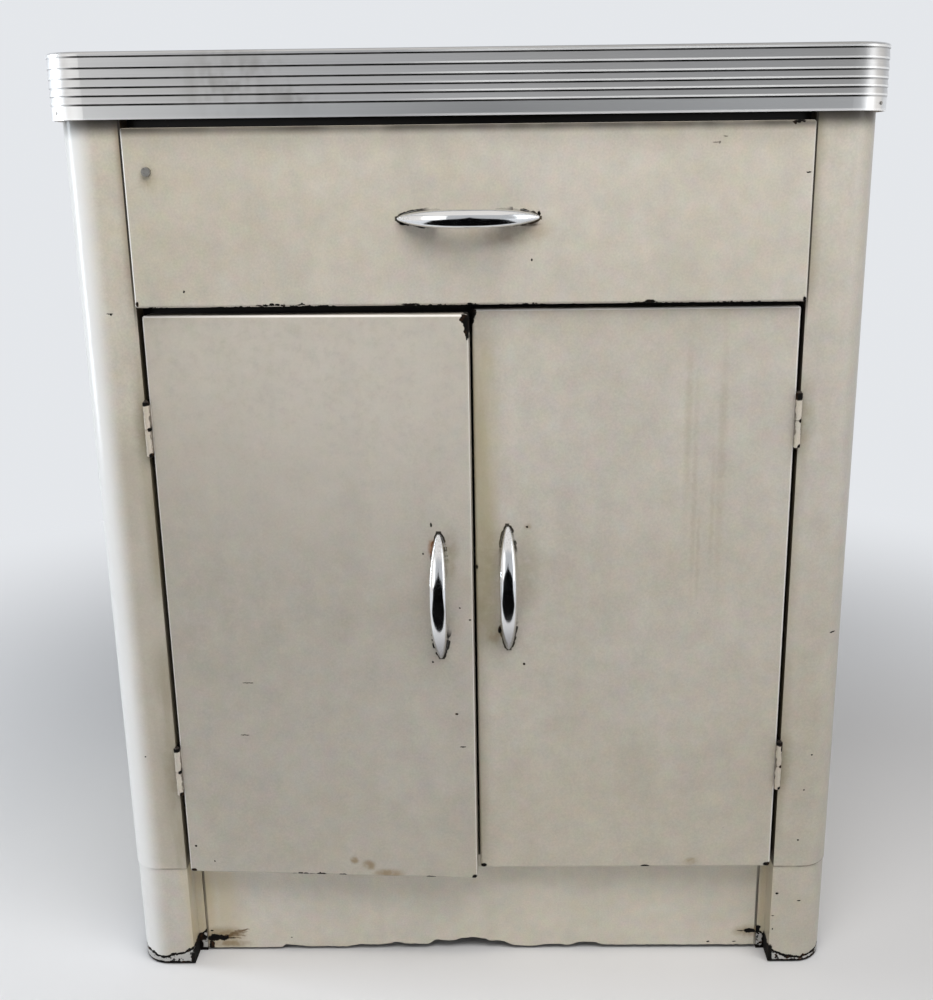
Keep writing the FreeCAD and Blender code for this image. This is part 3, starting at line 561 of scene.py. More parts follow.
# Grain figure: a stretched cloud between two colours, with fine flecks and a slight relief.
grain_figure, given, made = open_group(
    "grain figure", {"Place": VECTOR, "Stretch": VECTOR, "Share": NUMBER, "Light": COLOUR, "Dark": COLOUR,
                     "Flecks": NUMBER, "Roughness": NUMBER},
    {"Colour": COLOUR, "Roughness": NUMBER, "Height": NUMBER})
tree = grain_figure
wander = use_group(tree, ragged_place, {"Place": given["Place"], "Amount": 0.02, "Scale": 9.0})["Place"]
figure = cloud(tree, stretched(tree, wander, given["Stretch"]), 1.0, 6.0, 0.6)
speckle = cloud(tree, given["Place"], 700.0, 2.0)
first = minus(tree, 0.5, given["Share"])
last = calc(tree, "ADD", 0.5, given["Share"])
colour = tint(tree, ramp(tree, figure, first, last), given["Light"], given["Dark"])
flecked = times(tree, ramp(tree, speckle, 0.56, 0.7), given["Flecks"])
tree.links.new(tint(tree, flecked, colour, (0.06, 0.035, 0.02, 1)), made["Colour"])
uneven = calc(tree, "ADD", times(tree, figure, 0.6), times(tree, speckle, 0.4))
smooth = minus(tree, given["Roughness"], 0.1)
coarse = calc(tree, "ADD", given["Roughness"], 0.1)
tree.links.new(ramp(tree, uneven, 0.3, 0.7, smooth, coarse), made["Roughness"])
tree.links.new(uneven, made["Height"])


def grained_coat(name, light, dark, rough, metal, stretch, share, flecks=0.0):
    material, tree, shader, source = start_material(name)
    skin = use_group(tree, grain_figure, {"Place": source["Object"], "Stretch": stretch, "Share": share,
                                          "Light": light, "Dark": dark, "Flecks": flecks, "Roughness": rough})
    bump = put(tree, "ShaderNodeBump", {"Height": skin["Height"], "Distance": 0.0004, "Strength": 0.4})
    feed(tree, shader, {"Base Color": skin["Colour"], "Roughness": skin["Roughness"], "Normal": bump.outputs[0],
                        "Metallic": metal})
    return material


wood = grained_coat("worktop wood", (0.46, 0.31, 0.18, 1), (0.27, 0.155, 0.075, 1), 0.7, 0.0, (5, 110, 110), 0.18)
dress(wood, "countertop_core", "countertop_battens")
lino = grained_coat("linoleum", (0.19, 0.048, 0.034, 1), (0.085, 0.022, 0.017, 1), 0.38, 0.0, (16, 34, 34), 0.14,
                    0.12)
dress(lino, "countertop_linoleum")

# Edge band: drawn aluminium strip with stepped ribs, bent round the corners and pinned to the wood.
# Brushed along its length, dull in patches, with a painted highlight on each rib's lip and black dirt with painted
# shade in the groove under it.
RIB_LIPS = (0.91, 0.9006, 0.8921, 0.8847, 0.8777, 0.8705)
GROOVE_SHADE_AND_DIRT = 0.0015
PALE_LIP = 0.0016
LOWEST_LIP = (0.8592, 0.8604)
SMUDGES = ((-0.205, 0.885, 0.03, 0.03), (-0.15, 0.872, 0.018, 0.016), (-0.172, 0.902, 0.014, 0.01))
band_metal, tree, shader, source = start_material("ribbed aluminium")
place = source["Object"]
brushed = cloud(tree, stretched(tree, place, (3, 3, 800)), 1.0, 1.0)
patches = cloud(tree, stretched(tree, place, (6, 6, 3)), 1.0, 1.0)
part = parts_of(tree, place)
beside, height = part["X"], part["Z"]
across = calc(tree, "ABSOLUTE", beside)
rightward = ramp(tree, beside, -0.12, 0.06)
smeared = cloud(tree, stretched(tree, place, (70, 70, 40)), 1.0, 2.0)
smudges = times(tree, spots_at(tree, place, SMUDGES, 0.9), ramp(tree, smeared, 0.35, 0.65))
rubbed = tint(tree, brushed, (0.62, 0.62, 0.62, 1), (0.74, 0.74, 0.74, 1))
straight = ramp(tree, across, 0.332, 0.352, 1.0, 0.2)
darkened = times(tree, ramp(tree, beside, -0.12, 0.22, 0.0, 0.62), straight)
rubbed = tint(tree, darkened, rubbed, (0.42, 0.42, 0.42, 1))
rubbed = tint(tree, ramp(tree, patches, 0.45, 0.75, 0.0, 0.3), rubbed, (0.4, 0.39, 0.37, 1))
rubbed = tint(tree, times(tree, smudges, 0.4), rubbed, (0.24, 0.225, 0.195, 1))
groove_unevenness = ramp(tree, cloud(tree, stretched(tree, place, (30, 30, 4)), 1.0, 3.0), 0.25, 0.6, 0.75, 1.0)
grooves = []
lip_highlights = []
# Each rib: dirt and painted shade in the groove under its lip, a painted highlight along the lip.
for lip in RIB_LIPS:
    over = ramp(tree, height, lip - GROOVE_SHADE_AND_DIRT, lip - 0.5 * GROOVE_SHADE_AND_DIRT)
    below = ramp(tree, height, lip, lip + 0.0004, 1.0, 0.0)
    grooves.append(times(tree, over, below))
    under = ramp(tree, height, lip + PALE_LIP, lip + PALE_LIP + 0.0005, 1.0, 0.0)
    lip_highlights.append(times(tree, ramp(tree, height, lip, lip + 0.0004), under))
groove = times(tree, joined(tree, grooves), times(tree, groove_unevenness, straight))
rubbed = tint(tree, ramp(tree, height, 0.8685, 0.8702, 0.6, 0.0), rubbed, (0.94, 0.95, 0.95, 1))
# Painted highlights on the lips and the lowest edge, stronger to the right, pale and less metallic.
lip_highlight = joined(tree, lip_highlights + [ramp(tree, height, *LOWEST_LIP, 1.0, 0.0)])
lip_highlight = times(tree, lip_highlight, ramp(tree, patches, 0.3, 0.7, 0.95, 0.55))
lip_highlight = times(tree, lip_highlight, ramp(tree, rightward, 0.0, 1.0, 0.1, 1.0))
rubbed = tint(tree, lip_highlight, rubbed, (0.93, 0.94, 0.94, 1))
rubbed = tint(tree, ramp(tree, height, *LOWEST_LIP, 0.7, 0.0), rubbed, (0.93, 0.93, 0.93, 1))
tree.links.new(tint(tree, groove, rubbed, (0.018, 0.017, 0.016, 1)), shader.inputs["Base Color"])
roughened = ramp(tree, patches, 0.3, 0.75, 0.29, 0.42)
tree.links.new(calc(tree, "ADD", roughened, times(tree, groove, 0.4)), shader.inputs["Roughness"])
tree.links.new(minus(tree, 1.0, times(tree, lip_highlight, 0.45)), shader.inputs["Metallic"])
dress(band_metal, "edge_band")

# Hinges: two knuckles on a loose pin, riveted to jamb and door, painted over with the cabinet.
# Cream paint worn to dark steel at the ends and edges of the knuckles, with grime and painted shade in the gaps
# beside them.
HINGE_X = 0.3016
HINGE_LEVELS = (0.5853, 0.232)
KNUCKLE_END = 0.0245
LEFT_DROP = 0.003
coat = lay_enamel("hinge enamel", (0.6, 0.55, 0.47, 1), (0.54, 0.48, 0.39, 1))
worn = []
for side, drop in ((-1, LEFT_DROP), (1, 0.0)):
    axis = side * HINGE_X
    for middle in HINGE_LEVELS:
        level = middle - drop
        worn += [(axis, level + KNUCKLE_END, 0.006, 0.0022), (axis + 0.002, level, 0.0018, 0.0018),
                 (axis + 0.0018, level - KNUCKLE_END, 0.002, 0.0022)]
        # Dark lines beside each knuckle: grime and painted shade in the narrow gaps.
        shaded_dirty_sides = [(axis - 0.0031, level, 0.0007, 0.024), (axis + 0.0031, level, 0.0006, 0.022)]
        tint_patch(coat, (0.05, 0.04, 0.03, 1), 0.85, shaded_dirty_sides, 0.4)
worn += [(HINGE_X, 0.6085, 0.006, 0.0042), (0.304, 0.252, 0.0012, 0.004)]
chip(coat, worn)
dress(fire_enamel(coat), *[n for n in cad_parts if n.endswith("_leaf")])
pin_steel = grained_coat("rusted pin steel", (0.055, 0.045, 0.038, 1), (0.015, 0.012, 0.01, 1), 0.6, 0.4,
                         (300, 300, 300), 0.15, 0.3)
dress(pin_steel, "left_hinge_pins", "right_hinge_pins")
steel = grained_coat("dull steel", (0.46, 0.45, 0.43, 1), (0.3, 0.29, 0.27, 1), 0.42, 1.0, (120, 120, 120), 0.2,
                     0.35)
dress(steel, "hinge_frame_rivets", "left_hinge_rivets", "right_hinge_rivets")

# Doors: a folded steel skin over a liner, with a board between them to deaden the sound.
# Enamelled like the panels; flakes gone from the lower edge and by the pulls; painted highlights on the folds and
# painted shade in the gaps.
PULL_LENGTH = 0.127
PULL_WIDTH = 0.0165
PULL_X = 0.0325
DOOR_PULL_LEVEL = 0.422
PULL_GRIME = (0.01, 0.008, 0.006, 1)

# Pull rim: the line of black grime that gathers round the ends of a pull.
pull_rim, given, made = open_group(
    "pull rim", {"Place": VECTOR, "Along": NUMBER, "Across": NUMBER, "Low": NUMBER, "High": NUMBER})
tree = pull_rim
share = calc(tree, "DIVIDE", given["Along"], PULL_LENGTH / 2)
out = calc(tree, "ABSOLUTE", share)
body = calc(tree, "MAXIMUM", minus(tree, 1.0, calc(tree, "POWER", out, 2.5)), 0.0)
body = times(tree, calc(tree, "POWER", body, 0.6), PULL_WIDTH / 2)
beyond = minus(tree, calc(tree, "ABSOLUTE", given["Across"]), body)
upper = calc(tree, "GREATER_THAN", share, 0.0)
margin = calc(tree, "ADD", times(tree, upper, given["High"]), times(tree, minus(tree, 1.0, upper), given["Low"]))
torn = ramp(tree, cloud(tree, given["Place"], 170.0, 2.0), 0.32, 0.6, 0.45, 1.1)
margin = times(tree, margin, torn)
edge = ramp(tree, minus(tree, margin, beyond), 0.0, 0.0004)
ends = times(tree, ramp(tree, out, 0.52, 0.66), ramp(tree, out, 1.015, 1.03, 1.0, 0.0))
tree.links.new(times(tree, edge, ends), made["Mask"])

# Gap grime and shade: dirt and painted shade on the folded edges that face into the gaps.
gap_grime_and_shade, given, made = open_group("gap grime and shade", {"Normal": VECTOR, "Strength": NUMBER})
tree = gap_grime_and_shade
facing = calc(tree, "ABSOLUTE", parts_of(tree, given["Normal"])["Y"])
tree.links.new(ramp(tree, facing, 0.04, 0.2, given["Strength"], 0.0), made["Mask"])


def along(tree, place, direction):
    return put(tree, "ShaderNodeVectorMath", {0: place, 1: direction}, operation="DOT_PRODUCT").outputs[1]


# Painted fold highlight: a rounded fold that leans one way, painted lighter than the faces beside it, a painted
# highlight.
painted_fold_highlight, given, made = open_group(
    "painted fold highlight", {"Normal": VECTOR, "Direction": VECTOR, "Start": NUMBER, "Strength": NUMBER})
tree = painted_fold_highlight
lean = along(tree, given["Normal"], given["Direction"])
facing = calc(tree, "ABSOLUTE", parts_of(tree, given["Normal"])["Y"])
full = calc(tree, "ADD", given["Start"], 0.15)
share = times(tree, ramp(tree, lean, given["Start"], full), ramp(tree, facing, 0.15, 0.3, 0.0, given["Strength"]))
tree.links.new(share, made["Mask"])


def rim_pull(coat, x, z, level, low, high):
    """Grime round a pull whose middle is at x, z; level is true for a pull that lies flat."""
    tree = coat["tree"]
    part = parts_of(tree, coat["place"])
    beside = minus(tree, part["X"], x)
    over = minus(tree, part["Z"], z)
    lengthwise, sideways = (beside, over) if level else (over, beside)
    mask = use_group(tree, pull_rim, {"Place": coat["place"], "Along": lengthwise, "Across": sideways, "Low": low,
                                      "High": high})["Mask"]
    coat["colour"] = tint(tree, times(tree, mask, 0.94), coat["colour"], PULL_GRIME)


def darken_gap_edges(coat, strength):
    mark(coat, gap_grime_and_shade, GRIME_AND_SHADE, {"Strength": strength})


def paint_fold_highlight(coat, direction, start, strength):
    mark(coat, painted_fold_highlight, (0.92, 0.9, 0.86, 1), {"Direction": direction, "Start": start, "Strength": strength})


coat = lay_enamel("right door enamel")
# Grime and painted shade on edges facing the gaps; painted highlights on the top and right folds.
darken_gap_edges(coat, 0.4)
paint_fold_highlight(coat, (0, 0, 1), 0.2, 0.9)
paint_fold_highlight(coat, (1, 0, 0), 0.25, 0.8)
rim_pull(coat, PULL_X, DOOR_PULL_LEVEL, False, 0.0028, 0.0026)
# Olive beside the centre gap: stain and the painted shadow of the ajar left door.
stain_and_shade_edge(coat, 0.0015, 0.036, 0.3, 0.34, 0.685)
stain_and_shade_edge(coat, 0.0015, 0.028, 0.5, 0.37, 0.655, (0.42, 0.365, 0.21, 1), 0.011, 0.7)
stain_and_shade_edge(coat, 0.0015, 0.016, 0.3, 0.13, 0.36)
tint_patch(coat, OLIVE, 0.3, [(0.016, 0.45, 0.014, 0.034), (0.013, 0.4, 0.012, 0.03), (0.05, 0.44, 0.01, 0.03)], 0.9)
tint_patch(coat, OLIVE, 0.14, [(0.075, 0.385, 0.05, 0.09)], 0.9)
tint_patch(coat, OCHRE, 0.5, [(0.2184, 0.1218, 0.006, 0.004)])
tint_patch(coat, OCHRE, 0.17, [(0.201, 0.585, 0.0032, 0.075), (0.2085, 0.52, 0.0024, 0.085),
                          (0.233, 0.555, 0.0036, 0.105), (0.2262, 0.495, 0.002, 0.05),
                          (0.214, 0.455, 0.0016, 0.036)], 0.8)
chip(coat, [(0.0508, 0.4833, 0.0012, 0.0012), (0.0474, 0.3424, 0.0012, 0.0012), (0.0026, 0.4435, 0.001, 0.0022),
            (0.0051, 0.1183, 0.003, 0.0022), (0.1712, 0.1162, 0.0045, 0.0016), (0.2967, 0.1179, 0.0042, 0.0024)])
tint_patch(coat, OCHRE, 0.45, [(0.0518, 0.4838, 0.0036, 0.0026), (0.019, 0.372, 0.007, 0.007)], 0.7)
chip(coat, [(0.0238, 0.3785, 0.0016, 0.0036)])
break_out(coat, [(0.0028, 0.6862, 0.003, 0.005), (0.002, 0.68, 0.0018, 0.003)])
chip_edges(coat, (-9, 0, 0.115), (9, 0, 9), 0.0016, 0.4)
dress(fire_enamel(coat), "right_door_skin")

# A darker copy of the cream, a painted shade for the door turned away from the light.
coat = lay_enamel("left door enamel", (0.503, 0.468, 0.408, 1), (0.462, 0.421, 0.341, 1))
# Grime and painted shade on edges facing the gaps.
darken_gap_edges(coat, 0.1)
# A broad pale patch high on the left, a painted light.
tint_patch(coat, (0.64, 0.595, 0.525, 1), 0.55, [(-0.15, 0.64, 0.2, 0.13)], 0.9)
# Painted highlights on the top and side folds.
paint_fold_highlight(coat, (0, 0, 1), 0.25, 0.72)
paint_fold_highlight(coat, (-1, 0, 0), 0.25, 0.8)
paint_fold_highlight(coat, (1, 0, 0), 0.6, 0.7)
rim_pull(coat, -0.0327, DOOR_PULL_LEVEL - LEFT_DROP, False, 0.0032, 0.0025)
# A broad darker patch lower on the left, a painted shade.
tint_patch(coat, (0.33, 0.3, 0.25, 1), 0.22, [(-0.23, 0.43, 0.12, 0.13)], 0.9)
tint_patch(coat, OCHRE, 0.7, [(-0.1279, 0.1305, 0.004, 0.004), (-0.1126, 0.1251, 0.006, 0.005),
                         (-0.0924, 0.1155, 0.013, 0.005)])
tint_patch(coat, (0.3, 0.13, 0.045, 1), 0.75, [(-0.0392, 0.468, 0.0034, 0.0075)], 0.6)
tint_patch(coat, OLIVE, 0.45, [(-0.0215, 0.466, 0.006, 0.014), (-0.0215, 0.45, 0.004, 0.012)], 0.9)
chip(coat, [(-0.0398, 0.369, 0.0014, 0.0036), (-0.0362, 0.36, 0.0022, 0.0022)])
chip(coat, [(-0.0397, 0.4902, 0.0009, 0.0022), (-0.048, 0.4614, 0.0009, 0.0009), (-0.0139, 0.4072, 0.0009, 0.0007),
            (-0.0045, 0.395, 0.0012, 0.0008), (-0.0189, 0.2961, 0.0016, 0.0011), (-0.0136, 0.2604, 0.003, 0.0007),
            (-0.2318, 0.2693, 0.0045, 0.0005), (-0.225, 0.3259, 0.0055, 0.0004), (-0.0412, 0.351, 0.0009, 0.0009),
            (-0.2915, 0.1424, 0.0013, 0.0013), (-0.2729, 0.1254, 0.0008, 0.0008), (-0.1906, 0.113, 0.0024, 0.0007),
            (-0.184, 0.1134, 0.0026, 0.0014), (-0.1783, 0.1132, 0.0028, 0.0012), (-0.172, 0.1128, 0.003, 0.0008),
            (-0.1622, 0.1134, 0.0052, 0.0013), (-0.1637, 0.115, 0.0008, 0.0008), (-0.14, 0.113, 0.004, 0.0014),
            (-0.049, 0.113, 0.005, 0.0012), (-0.004, 0.114, 0.0025, 0.003), (-0.2955, 0.1146, 0.003, 0.0019)])
break_out(coat, [(-0.0052, 0.6838, 0.0034, 0.004), (-0.003, 0.6805, 0.0028, 0.007),
                 (-0.0028, 0.6725, 0.0024, 0.0042), (-0.0026, 0.6668, 0.0014, 0.003),
                 (-0.001, 0.679, 0.0026, 0.01)])
chip_edges(coat, (-9, 0, 0.112), (9, 0, 9), 0.0016, 0.4)
dress(fire_enamel(coat), "left_door_skin")
dress(inside_coat["material"], "left_door_liner", "right_door_liner")
board = grained_coat("deadening board", (0.33, 0.25, 0.16, 1), (0.2, 0.14, 0.085, 1), 0.85, 0.0, (200, 200, 90),
                     0.2, 0.4)
dress(board, "left_door_pad", "right_door_pad")

# Catches and bumpers: a folded strike on each door that slips into a spring clip under the drawer's rail.
# Plain steel, with small rubber buttons that the doors come to rest against.
dress(steel, "left_catch_strike", "right_catch_strike", "catch_clips")
rubber = grained_coat("bumper rubber", (0.03, 0.029, 0.028, 1), (0.014, 0.013, 0.013, 1), 0.8, 0.0,
                      (400, 400, 400), 0.2)
dress(rubber, "door_bumpers")

# Pulls: cast bows with pointed ends on two feet, chromium plated and held by screws from inside.
# Built as one smooth skin, the same for the drawer and for both doors.
PULL_END = 0.985
PULL_RISE = 0.027
PULL_TIP_RISE = 0.003
PULL_THICKNESS = 0.011
PULL_FOOT_LENGTH = 0.031
PULL_FOOT_RAMP = 0.008
PULL_FOOT_SHARE = 0.955
PULL_FOOT_SPREAD = 0.0016
FACE = -0.229708
HINGE_OUT = 0.0031
LEFT_AJAR = 2.9
DRAWER_OUT = 0.0075
DRAWER_PULL_LEVEL = 0.7716


def pull_skin(name):
    half = PULL_LENGTH / 2
    tip = half * PULL_END
    foot_inner = tip - PULL_FOOT_LENGTH
    foot_start = foot_inner - PULL_FOOT_RAMP
    outer = [0.0004 * 1.6 ** i for i in range(9)]
    stops = {tip - run for run in outer if tip - run > foot_inner}
    stops |= {foot_start + PULL_FOOT_RAMP * i / 12 for i in range(13)}
    stops |= {foot_start * i / 10 for i in range(11)}
    stops |= {foot_inner + (tip - foot_inner) * i / 12 for i in range(1, 13)}
    stops = sorted(stops)
    places = [-stop for stop in reversed(stops[1:])] + stops
    crest = [math.pi * i / 20 for i in range(21)]
    under = (-0.99, -0.975, -0.955, -0.9, -0.7, -0.4, 0.0, 0.4, 0.7, 0.9, 0.955, 0.975, 0.99)
    rings = []
    for place in places:
        share = abs(place) / half
        width = PULL_WIDTH * (1 - share ** 2.5) ** 0.6 / 2
        front = PULL_TIP_RISE + (PULL_RISE - PULL_TIP_RISE) * (1 - share ** 2)
        thick = PULL_THICKNESS * math.sqrt(1 - share ** 2) / 2
        middle = front - thick
        climb = min(1.0, max(0.0, (abs(place) - foot_start) / PULL_FOOT_RAMP))
        floor = (middle - thick / 2) * (1 - math.sqrt(1 - (1 - climb) ** 2))
        ring = [(width * math.cos(angle), middle + thick * math.sin(angle)) for angle in crest]
        past = max(0.0, (abs(place) - foot_inner) / (tip - foot_inner))
        spread = PULL_FOOT_SPREAD * math.sqrt(1 - (1 - climb) ** 2) * (1 - past ** 4)
        for across in under:
            low = middle - thick * math.sqrt(1 - across ** 2)
            out = width * across
            if abs(across) <= PULL_FOOT_SHARE and abs(place) >= foot_start and floor < low:
                low = floor
                out = (width + spread) * across
            ring.append((out, low))
        rings.append([(place, -y, z) for z, y in ring])
    data = skin_over(name, rings)
    data.polygons.foreach_set("use_smooth", [True] * len(data.polygons))
    data.set_sharp_from_angle(angle=math.radians(50))
    return data


# Chrome plate: pitted and dulled towards the ends, with black grime where the feet meet the enamel.
chrome_plate, given, made = open_group(
    "chrome plate", {"Place": VECTOR, "Middle": VECTOR, "Along": VECTOR, "Outward": VECTOR, "Dull": NUMBER},
    {"Colour": COLOUR, "Roughness": NUMBER, "Metallic": NUMBER})
tree = chrome_plate
half = PULL_LENGTH / 2
offset = less(tree, given["Place"], given["Middle"])
run = along(tree, offset, given["Along"])
rise = along(tree, offset, given["Outward"])
end = ramp(tree, calc(tree, "ABSOLUTE", run), 0.55 * half, 0.95 * half)
pitted = ramp(tree, cloud(tree, given["Place"], 1300.0, 3.0, 0.7), 0.53, 0.66)
pits = times(tree, pitted, end)
torn = ramp(tree, cloud(tree, given["Place"], 420.0, 3.0), 0.3, 0.5)
low_down = ramp(tree, rise, 0.0007, 0.0026, 1.0, 0.0)
grime = times(tree, times(tree, low_down, end), torn)
dulled = ramp(tree, run, 0.3 * half, 0.8 * half, 0.0, given["Dull"])
colour = tint(tree, dulled, (0.86, 0.87, 0.88, 1), (0.4, 0.4, 0.42, 1))
colour = tint(tree, times(tree, pits, 0.65), colour, (0.22, 0.21, 0.2, 1))
tree.links.new(tint(tree, grime, colour, PULL_GRIME), made["Colour"])
rough = ramp(tree, cloud(tree, given["Place"], 70.0, 3.0), 0.3, 0.7, 0.09, 0.15)
rough = calc(tree, "ADD", rough, times(tree, end, 0.12))
rough = calc(tree, "ADD", rough, times(tree, grime, 0.5))
tree.links.new(rough, made["Roughness"])
tree.links.new(minus(tree, 1.0, grime), made["Metallic"])

upright = Matrix.Rotation(math.radians(90), 4, "Y")
hinge = Vector((-HINGE_X, FACE - HINGE_OUT, 0))
ajar = Matrix.Translation(hinge) @ Matrix.Rotation(math.radians(-LEFT_AJAR), 4, "Z") @ Matrix.Translation(-hinge)
drawer_seat = Matrix.Translation((0, FACE - DRAWER_OUT, DRAWER_PULL_LEVEL))
right_seat = Matrix.Translation((PULL_X, FACE, DOOR_PULL_LEVEL)) @ upright
left_seat = ajar @ Matrix.Translation((-PULL_X, FACE, DOOR_PULL_LEVEL - LEFT_DROP)) @ upright
pulls = (("drawer_bow_pull", "drawer", "drawer_pull", drawer_seat, 0.1),
         ("right_bow_pull", "right_door", "right_door_pull", right_seat, 0.8),
         ("left_bow_pull", "left_door", "left_door_pull", left_seat, 0.8))
for name, body, node, seat, dull in pulls:
    chrome, tree, shader, source = start_material(name.replace("_", " ") + " chrome")
    turned = seat.to_3x3()
    skin = use_group(tree, chrome_plate, {"Place": source["Object"], "Middle": seat.translation,
                                          "Along": turned @ Vector((1, 0, 0)),
                                          "Outward": turned @ Vector((0, -1, 0)), "Dull": dull})
    feed(tree, shader, {"Base Color": skin["Colour"], "Roughness": skin["Roughness"],
                        "Metallic": skin["Metallic"]})
    data = pull_skin(name)
    data.transform(seat)
    data.materials.append(chrome)
    piece = bpy.data.objects.new(name, data)
    bpy.context.scene.collection.objects.link(piece)
    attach(piece, body)
    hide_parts(node)
dress(steel, "left_pull_screws", "right_pull_screws", "drawer_pull_screws")

# Drawer: a steel box on two slides behind a folded front, with a bolt through its upper corner.
# The front is enamelled like the doors, flaked along its lower edge, with painted highlights on its side folds and
# painted shadow under the worktop.
coat = lay_enamel("drawer enamel", (0.585, 0.546, 0.48, 1), (0.54, 0.494, 0.404, 1))
# Grime and painted shade on edges facing the gaps; painted highlights on the side folds.
darken_gap_edges(coat, 0.4)
paint_fold_highlight(coat, (-1, 0, 0), 0.3, 0.9)
paint_fold_highlight(coat, (1, 0, 0), 0.45, 0.5)
# The painted shadow of the worktop's edge along the top, deep then faint.
shade_under(coat, 0.8505, 0.009, 0.9)
shade_under(coat, 0.852, 0.034, 0.22)
rim_pull(coat, 0.0, DRAWER_PULL_LEVEL, True, 0.0023, 0.0023)
chip(coat, [(0.2977, 0.8073, 0.0022, 0.0006), (0.056, 0.7343, 0.0006, 0.0012), (-0.2568, 0.7094, 0.0009, 0.0013),
            (-0.0534, 0.6962, 0.008, 0.0009), (0.0002, 0.6957, 0.0024, 0.0014), (0.1621, 0.6963, 0.005, 0.002),
            (0.3003, 0.697, 0.0016, 0.0022), (-0.3, 0.6985, 0.0014, 0.0024)])
break_out(coat, [(0.2835, 0.8498, 0.0024, 0.0016), (0.2872, 0.8502, 0.003, 0.0017), (0.2912, 0.85, 0.0018, 0.0014),
                 (-0.19, 0.6964, 0.0022, 0.0011), (-0.1845, 0.6967, 0.0028, 0.0013),
                 (-0.179, 0.6968, 0.0026, 0.0013), (-0.1735, 0.6968, 0.0024, 0.0012),
                 (-0.168, 0.6965, 0.002, 0.001), (-0.152, 0.6968, 0.004, 0.0007)])
tint_patch(coat, (0.06, 0.05, 0.04, 1), 0.8, [(0.2162, 0.8336, 0.0026, 0.0006), (0.219, 0.8329, 0.001, 0.0012),
                                         (0.2242, 0.8384, 0.0016, 0.0006)], 0.5)
# Ochre below the pull and the bolt: stain and the painted shadow of each.
tint_patch(coat, OCHRE, 0.35, [(0.03, 0.7563, 0.032, 0.007), (0.0576, 0.7604, 0.014, 0.01),
                          (-0.28, 0.806, 0.006, 0.008)], 0.9)
chip(coat, [(-0.058, 0.7672, 0.003, 0.0015), (0.0625, 0.7748, 0.0013, 0.002)])
tint_patch(coat, (0.06, 0.04, 0.022, 1), 0.8, [(0.053, 0.7652, 0.009, 0.0012)], 0.5)
chip_edges(coat, (-9, 0, 0.695), (9, 0, 9), 0.0019, 0.6)
dress(fire_enamel(coat), "drawer_front_skin")
dress(inside_coat["material"], "drawer_front_liner", "drawer_left_side", "drawer_right_side", "drawer_back",
      "drawer_bottom", "drawer_slides")
dress(steel, "drawer_stop_bolt")

# Fasteners of the carcass: screws up into the worktop, bolts through the base, pins through the edge band.
# Dull zinc-plated steel; most are out of sight.
dress(steel, "countertop_screws", "base_bolts", "edge_band_pins")

# Studio: a pale paper floor that sweeps up into a backdrop, with soft lamps and a camera in front.
# Beyond a short distance the paper glows, so that it stays even behind the cabinet.
floor_mesh = bmesh.new()
FLOOR_LEVEL = -0.0004
BEND_START = 2.2
BEND_RADIUS = 1.2
sweep = [(-6.0, FLOOR_LEVEL), (BEND_START, FLOOR_LEVEL)]
for step in range(1, 17):
    angle = math.pi / 2 * step / 16
    sweep.append((BEND_START + BEND_RADIUS * math.sin(angle), BEND_RADIUS - BEND_RADIUS * math.cos(angle)))
sweep.append((BEND_START + BEND_RADIUS, 6.0))
rows = [[floor_mesh.verts.new((x, y, z)) for x in (-7.0, 7.0)] for y, z in sweep]
for row, following in zip(rows, rows[1:]):
    floor_mesh.faces.new((row[0], row[1], following[1], following[0]))
floor_data = bpy.data.meshes.new("floor")
floor_mesh.to_mesh(floor_data)
floor_mesh.free()
floor_data.polygons.foreach_set("use_smooth", [True] * len(floor_data.polygons))
floor = bpy.data.objects.new("floor", floor_data)
bpy.context.scene.collection.objects.link(floor)
floor_paper, tree, paper, source = start_material("studio paper")
feed(tree, paper, {"Base Color": (0.78, 0.78, 0.79, 1), "Roughness": 0.8})
distance = put(tree, "ShaderNodeVectorMath", {0: source["Object"]}, operation="LENGTH").outputs["Value"]
far = ramp(tree, distance, 0.6, 1.7)
ray = tree.nodes.new("ShaderNodeLightPath").outputs
seen = calc(tree, "MAXIMUM", ray["Is Camera Ray"], ray["Is Glossy Ray"])
seen = calc(tree, "MAXIMUM", seen, ray["Is Transmission Ray"])
glow = put(tree, "ShaderNodeEmission", {"Color": (0.78, 0.8, 0.83, 1), "Strength": 1.0})
share = times(tree, far, seen)
join = put(tree, "ShaderNodeMixShader", {0: share, 1: paper.outputs[0], 2: glow.outputs[0]})
tree.links.new(join.outputs[0], tree.nodes["Material Output"].inputs["Surface"])
floor_data.materials.append(floor_paper)

# World: an even pale room, brighter for the camera and for mirrors than as light.
world = bpy.data.worlds.new("studio")
bpy.context.scene.world = world
world.use_nodes = True
tree = world.node_tree
ray = tree.nodes.new("ShaderNodeLightPath").outputs
mirrored = calc(tree, "MAXIMUM", ray["Is Glossy Ray"], ray["Is Transmission Ray"])
in_mirrors = ramp(tree, mirrored, 0.0, 1.0, 0.15, 0.58)
in_camera = ramp(tree, ray["Is Camera Ray"], 0.0, 1.0, 0.0, 0.92)
strength = calc(tree, "MAXIMUM", in_mirrors, in_camera)
feed(tree, tree.nodes["Background"], {"Color": (0.85, 0.87, 0.9, 1), "Strength": strength})


# Lamps: one beside the left corner, a window, a fill from the right, and the main one above the front.
def soft_lamp(name, place, target, wide, high, power, colour):
    lamp = bpy.data.lights.new(name, "AREA")
    lamp.shape = "RECTANGLE"
    lamp.size = wide
    lamp.size_y = high
    lamp.energy = power
    lamp.color = colour
    holder = bpy.data.objects.new(name, lamp)
    holder.location = place
    holder.rotation_euler = (Vector(target) - Vector(place)).to_track_quat("-Z", "Y").to_euler()
    bpy.context.scene.collection.objects.link(holder)
    return holder


